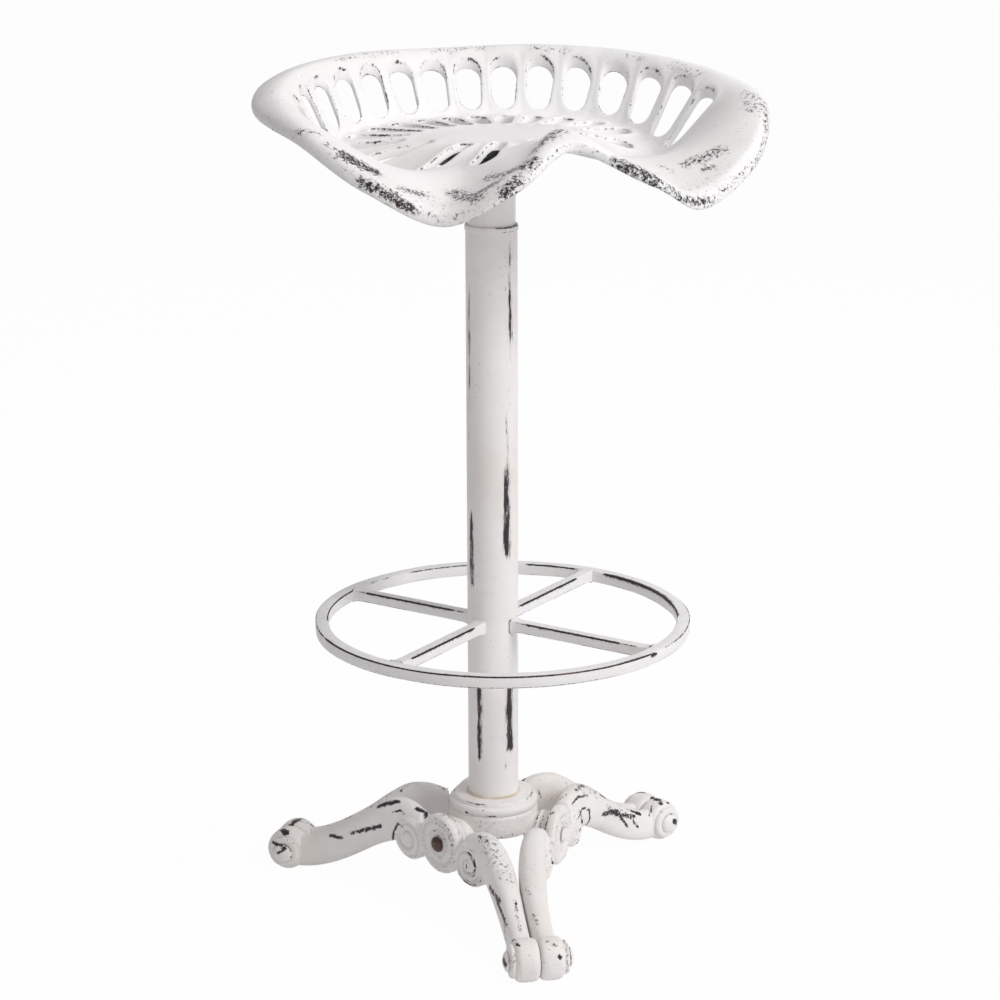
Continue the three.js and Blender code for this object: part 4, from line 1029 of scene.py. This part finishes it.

# %% [markdown]
# ## Buttons, bolts and the hidden steel
# The rosettes' bolts are worn and rusty. The rolls' ends carry painted buttons. The plate under the seat is
# near black, partly its own dark steel and partly painted shade for the dark under the pan, and the screw and
# its nut are bright. The frame's own meshes are right for the hidden ones, so those only get a finish.

# %% Plain finishes
def plain_finish(name, dark, light, metallic, rough):
    """A plain finish with tone, roughness and bump from the same fine noise."""
    n = Nodes(name)
    fine = n.noise(160, 5, 0.6)
    n.wire(n.blend(n.ramp(fine, 0.35, 0.65), dark, light), n.shader.inputs["Base Color"])
    n.shader.inputs["Metallic"].default_value = metallic
    n.wire(n.ramp(fine, 0.3, 0.7, rough - 0.08, rough + 0.08), n.shader.inputs["Roughness"])
    n.wire(n.bump(fine, 0.0003, 0.5), n.shader.inputs["Normal"])
    return n.material


black_steel = plain_finish("black_steel", (0.02, 0.019, 0.02, 1), (0.05, 0.047, 0.048, 1), 0.5, 0.5)
bright_steel = plain_finish("bright_steel", (0.45, 0.45, 0.46, 1), (0.62, 0.62, 0.63, 1), 1.0, 0.32)
nylon = plain_finish("nylon", (0.66, 0.65, 0.6, 1), (0.74, 0.73, 0.68, 1), 0.0, 0.55)
print("plain finishes", [m.name for m in (black_steel, bright_steel, nylon)])


# %% Buttons
def dome_profile(radius, height, shank_radius, shank):
    """A low dome on a shank: the dome is a quarter ellipse."""
    a = np.radians(np.linspace(0, 90, 12))
    dome = np.stack([radius * np.cos(a), height * np.sin(a)], -1)
    below = -0.05
    stem = [[0, -shank], [shank_radius, -shank], [shank_radius, below], [radius - 0.4, below]]
    return np.concatenate([stem, dome])


bolt = lay_along_x(turned_body(dome_profile(7, 3.6, 4, 24), 48)) + np.array([66.2, 0, 60])
button = lay_along_x(turned_body(dome_profile(9, 4.5, 4, 3), 48)) + np.array([25.85, 0, 0])
for k, (angle, bare) in enumerate(zip(CASTING_TURNS, (0.95, 0.1, 0.9)), 1):
    head = in_place(turn_about_z(bolt, angle), BASE_TURN)
    make_piece(f"rosette_bolt_{k}_worn", head, "base", bolt_paint,
               lambda points: np.full(len(points), bare))
    foot = math.radians(angle + 60)
    place = np.array([FOOT_REACH * math.cos(foot), FOOT_REACH * math.sin(foot), ROLL_Z])
    for label, flip in (("foot_bolt", 0), ("foot_cap_nut", 180)):
        end = turn_about_z(button, angle + 150 + flip) + place
        make_piece(f"{label}_{k}_worn", in_place(end, BASE_TURN), "base", cast_paint)

# %% Plate under the seat, and the bolt under the hub
def soft_square_plate(half, power, low, high):
    """A plate whose outline is |x|^n + |y|^n = half^n, with small round edges."""
    turn = np.linspace(0, 2 * np.pi, 128, endpoint=False)
    reach = half / (np.abs(np.cos(turn)) ** power + np.abs(np.sin(turn)) ** power) ** (1 / power)
    return turned_body(soft_profile([[0, low], [1, low], [1, high], [0, high]], 0.03, 3, 0.1), 128, reach)


# near black: partly the plate's own dark steel, partly painted shade for the dark under the pan
plate = in_place(soft_square_plate(49, 2.6, 662, 668), SEAT_TURN)
make_piece("seat_mount_plate_soft", plate, "seat", black_steel)
washer = turned_body(soft_profile([[0, 58.2], [14, 58.2], [14, 60.3], [0, 60.3]], 0.4, 3, 3), 64)
make_piece("tie_washer_flush", in_place(washer), "base", black_steel)
tie = turned_body([[0, 55.8], [6, 56.0], [8.4, 57.0], [9, 58.15], [4, 58.15], [4, 72.3], [0, 72.3]], 48)
make_piece("tie_bolt_flush", in_place(tie), "base", black_steel)

# %% Finishes on the frame's own meshes
BRIGHT = ["lift_screw", "lift_nut", "guide_washer", "guide_nut", "column_end_plug"]
BLACK = [f"{kind}_{k}" for kind in ("seat_bolt", "seat_washer") for k in (1, 2, 3, 4)]
for material, nodes in ((bright_steel, BRIGHT), (nylon, ["screw_guide"]), (black_steel, BLACK)):
    for node in nodes:
        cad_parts[node].data.materials.clear()
        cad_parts[node].data.materials.append(material)
    print(material.name, "on", nodes)

# %% [markdown]
# ## Floor, light and camera
# The photograph has a plain white ground, so the floor and the world are white to the camera and pale to the
# light. The lamps are large and mostly in front, which keeps shadows soft. The camera stands 2.5 m away and
# just over a metre up, looking down by 15.9 degrees.

# %% Floor and world
floor_mesh = bpy.data.meshes.new("floor")
FLOOR_HALF = 40
corners = [(x * FLOOR_HALF, y * FLOOR_HALF, 0) for x, y in ((-1, -1), (1, -1), (1, 1), (-1, 1))]
floor_mesh.from_pydata(corners, [], [(0, 1, 2, 3)])
floor = bpy.data.objects.new("floor", floor_mesh)
bpy.context.scene.collection.objects.link(floor)


def pale_floor():
    """Matt white that the camera sees mostly as plain white, so that only the soft shadow shows."""
    n = Nodes("pale_floor")
    n.wire(n.blend(n.noise(3, 2), (0.86, 0.86, 0.86, 1), (0.9, 0.9, 0.9, 1)), n.shader.inputs["Base Color"])
    n.shader.inputs["Roughness"].default_value = 0.9
    glow, path, mix = n.node("Emission", Color=(1, 1, 1, 1)), n.node("LightPath"), n.node("MixShader")
    seen = n.math("MAXIMUM", path.outputs["Is Camera Ray"], path.outputs["Is Glossy Ray"])
    seen = n.math("MAXIMUM", seen, path.outputs["Is Transmission Ray"])
    output = next(node for node in n.tree.nodes if node.type == "OUTPUT_MATERIAL")
    n.wire(n.math("MULTIPLY", seen, 0.97), mix.inputs[0])
    n.wire(n.shader.outputs[0], mix.inputs[1])
    n.wire(glow.outputs[0], mix.inputs[2])
    n.wire(mix.outputs[0], output.inputs["Surface"])
    return n.material


floor_mesh.materials.append(pale_floor())
world = bpy.data.worlds.new("studio")
bpy.context.scene.world = world
world.use_nodes = True
tree = world.node_tree
tree.nodes.clear()
soft, white, path, either, mix, out = (
    tree.nodes.new("ShaderNode" + kind)
    for kind in ("Background", "Background", "LightPath", "Math", "MixShader", "OutputWorld"))
for background, colour, strength in ((soft, (1.0, 0.99, 0.985, 1), 0.4), (white, (1, 1, 1, 1), 1.0)):
    background.inputs["Color"].default_value = colour
    background.inputs["Strength"].default_value = strength
either.operation = "MAXIMUM"
for source, target in (
        (path.outputs["Is Camera Ray"], either.inputs[0]),
        (path.outputs["Is Transmission Ray"], either.inputs[1]),
        (either.outputs[0], mix.inputs[0]), (soft.outputs[0], mix.inputs[1]),
        (white.outputs[0], mix.inputs[2]), (mix.outputs[0], out.inputs["Surface"])):
    tree.links.new(source, target)
print("floor and world", floor.name, world.name)

# %% Lamps
def stand(name, data, place, right, up, back):
    """Makes an object for a lamp or a camera, with its place and its three axes."""
    thing = bpy.data.objects.new(name, data)
    bpy.context.scene.collection.objects.link(thing)
    turn = Matrix([list(row) for row in np.stack([right, up, back], 1)]).to_4x4()
    thing.matrix_world = Matrix.Translation(place) @ turn
    print(name, [round(v, 3) for v in place])
    return thing


STOOL_MIDDLE = np.array([0, 0, 0.45])


def lamp(name, place, size, power):
    """A square area lamp, with its size in metres and power in watts, turned to the middle of the stool."""
    data = bpy.data.lights.new(name, "AREA")
    data.size, data.energy = size, power
    way = np.array(place) - STOOL_MIDDLE
    back = way / np.linalg.norm(way)
    side = np.cross([0, 0, 1], back)
    side /= np.linalg.norm(side)
    stand(name, data, place, side, np.cross(back, side), back)


lamp("key_lamp", (2.3, -1.7, 2.1), 1.2, 50)
lamp("fill_lamp", (-2.2, -1.6, 1.2), 1.8, 2)
lamp("top_lamp", (0.9, -0.3, 2.5), 1.4, 17)
lamp("back_lamp", (0.3, 2.4, 1.5), 1.6, 5)

# %% Camera
# The camera's place is measured from the column's axis, and the small roll comes from the photograph.
PITCH, ROLL, FOCAL_PIXELS = 0.276952, -0.003081, 2952.9
IMAGE_PIXELS, SENSOR_WIDTH, CAMERA_PLACE = 1000, 36.0, np.array([6.63, -2472.4, 1066.9])
forward = np.array([0, math.cos(PITCH), -math.sin(PITCH)])
up, right = np.array([0, math.sin(PITCH), math.cos(PITCH)]), np.array([1.0, 0, 0])
x_axis = math.cos(ROLL) * right + math.sin(ROLL) * up
y_axis = -math.sin(ROLL) * right + math.cos(ROLL) * up
camera_data = bpy.data.cameras.new("camera")
camera_data.sensor_width = SENSOR_WIDTH
camera_data.lens = FOCAL_PIXELS / IMAGE_PIXELS * SENSOR_WIDTH
place = (COLUMN_PLACE + CAMERA_PLACE) * MM
bpy.context.scene.camera = stand("camera", camera_data, place, x_axis, y_axis, -forward)
bpy.context.scene.view_settings.view_transform = "Standard"
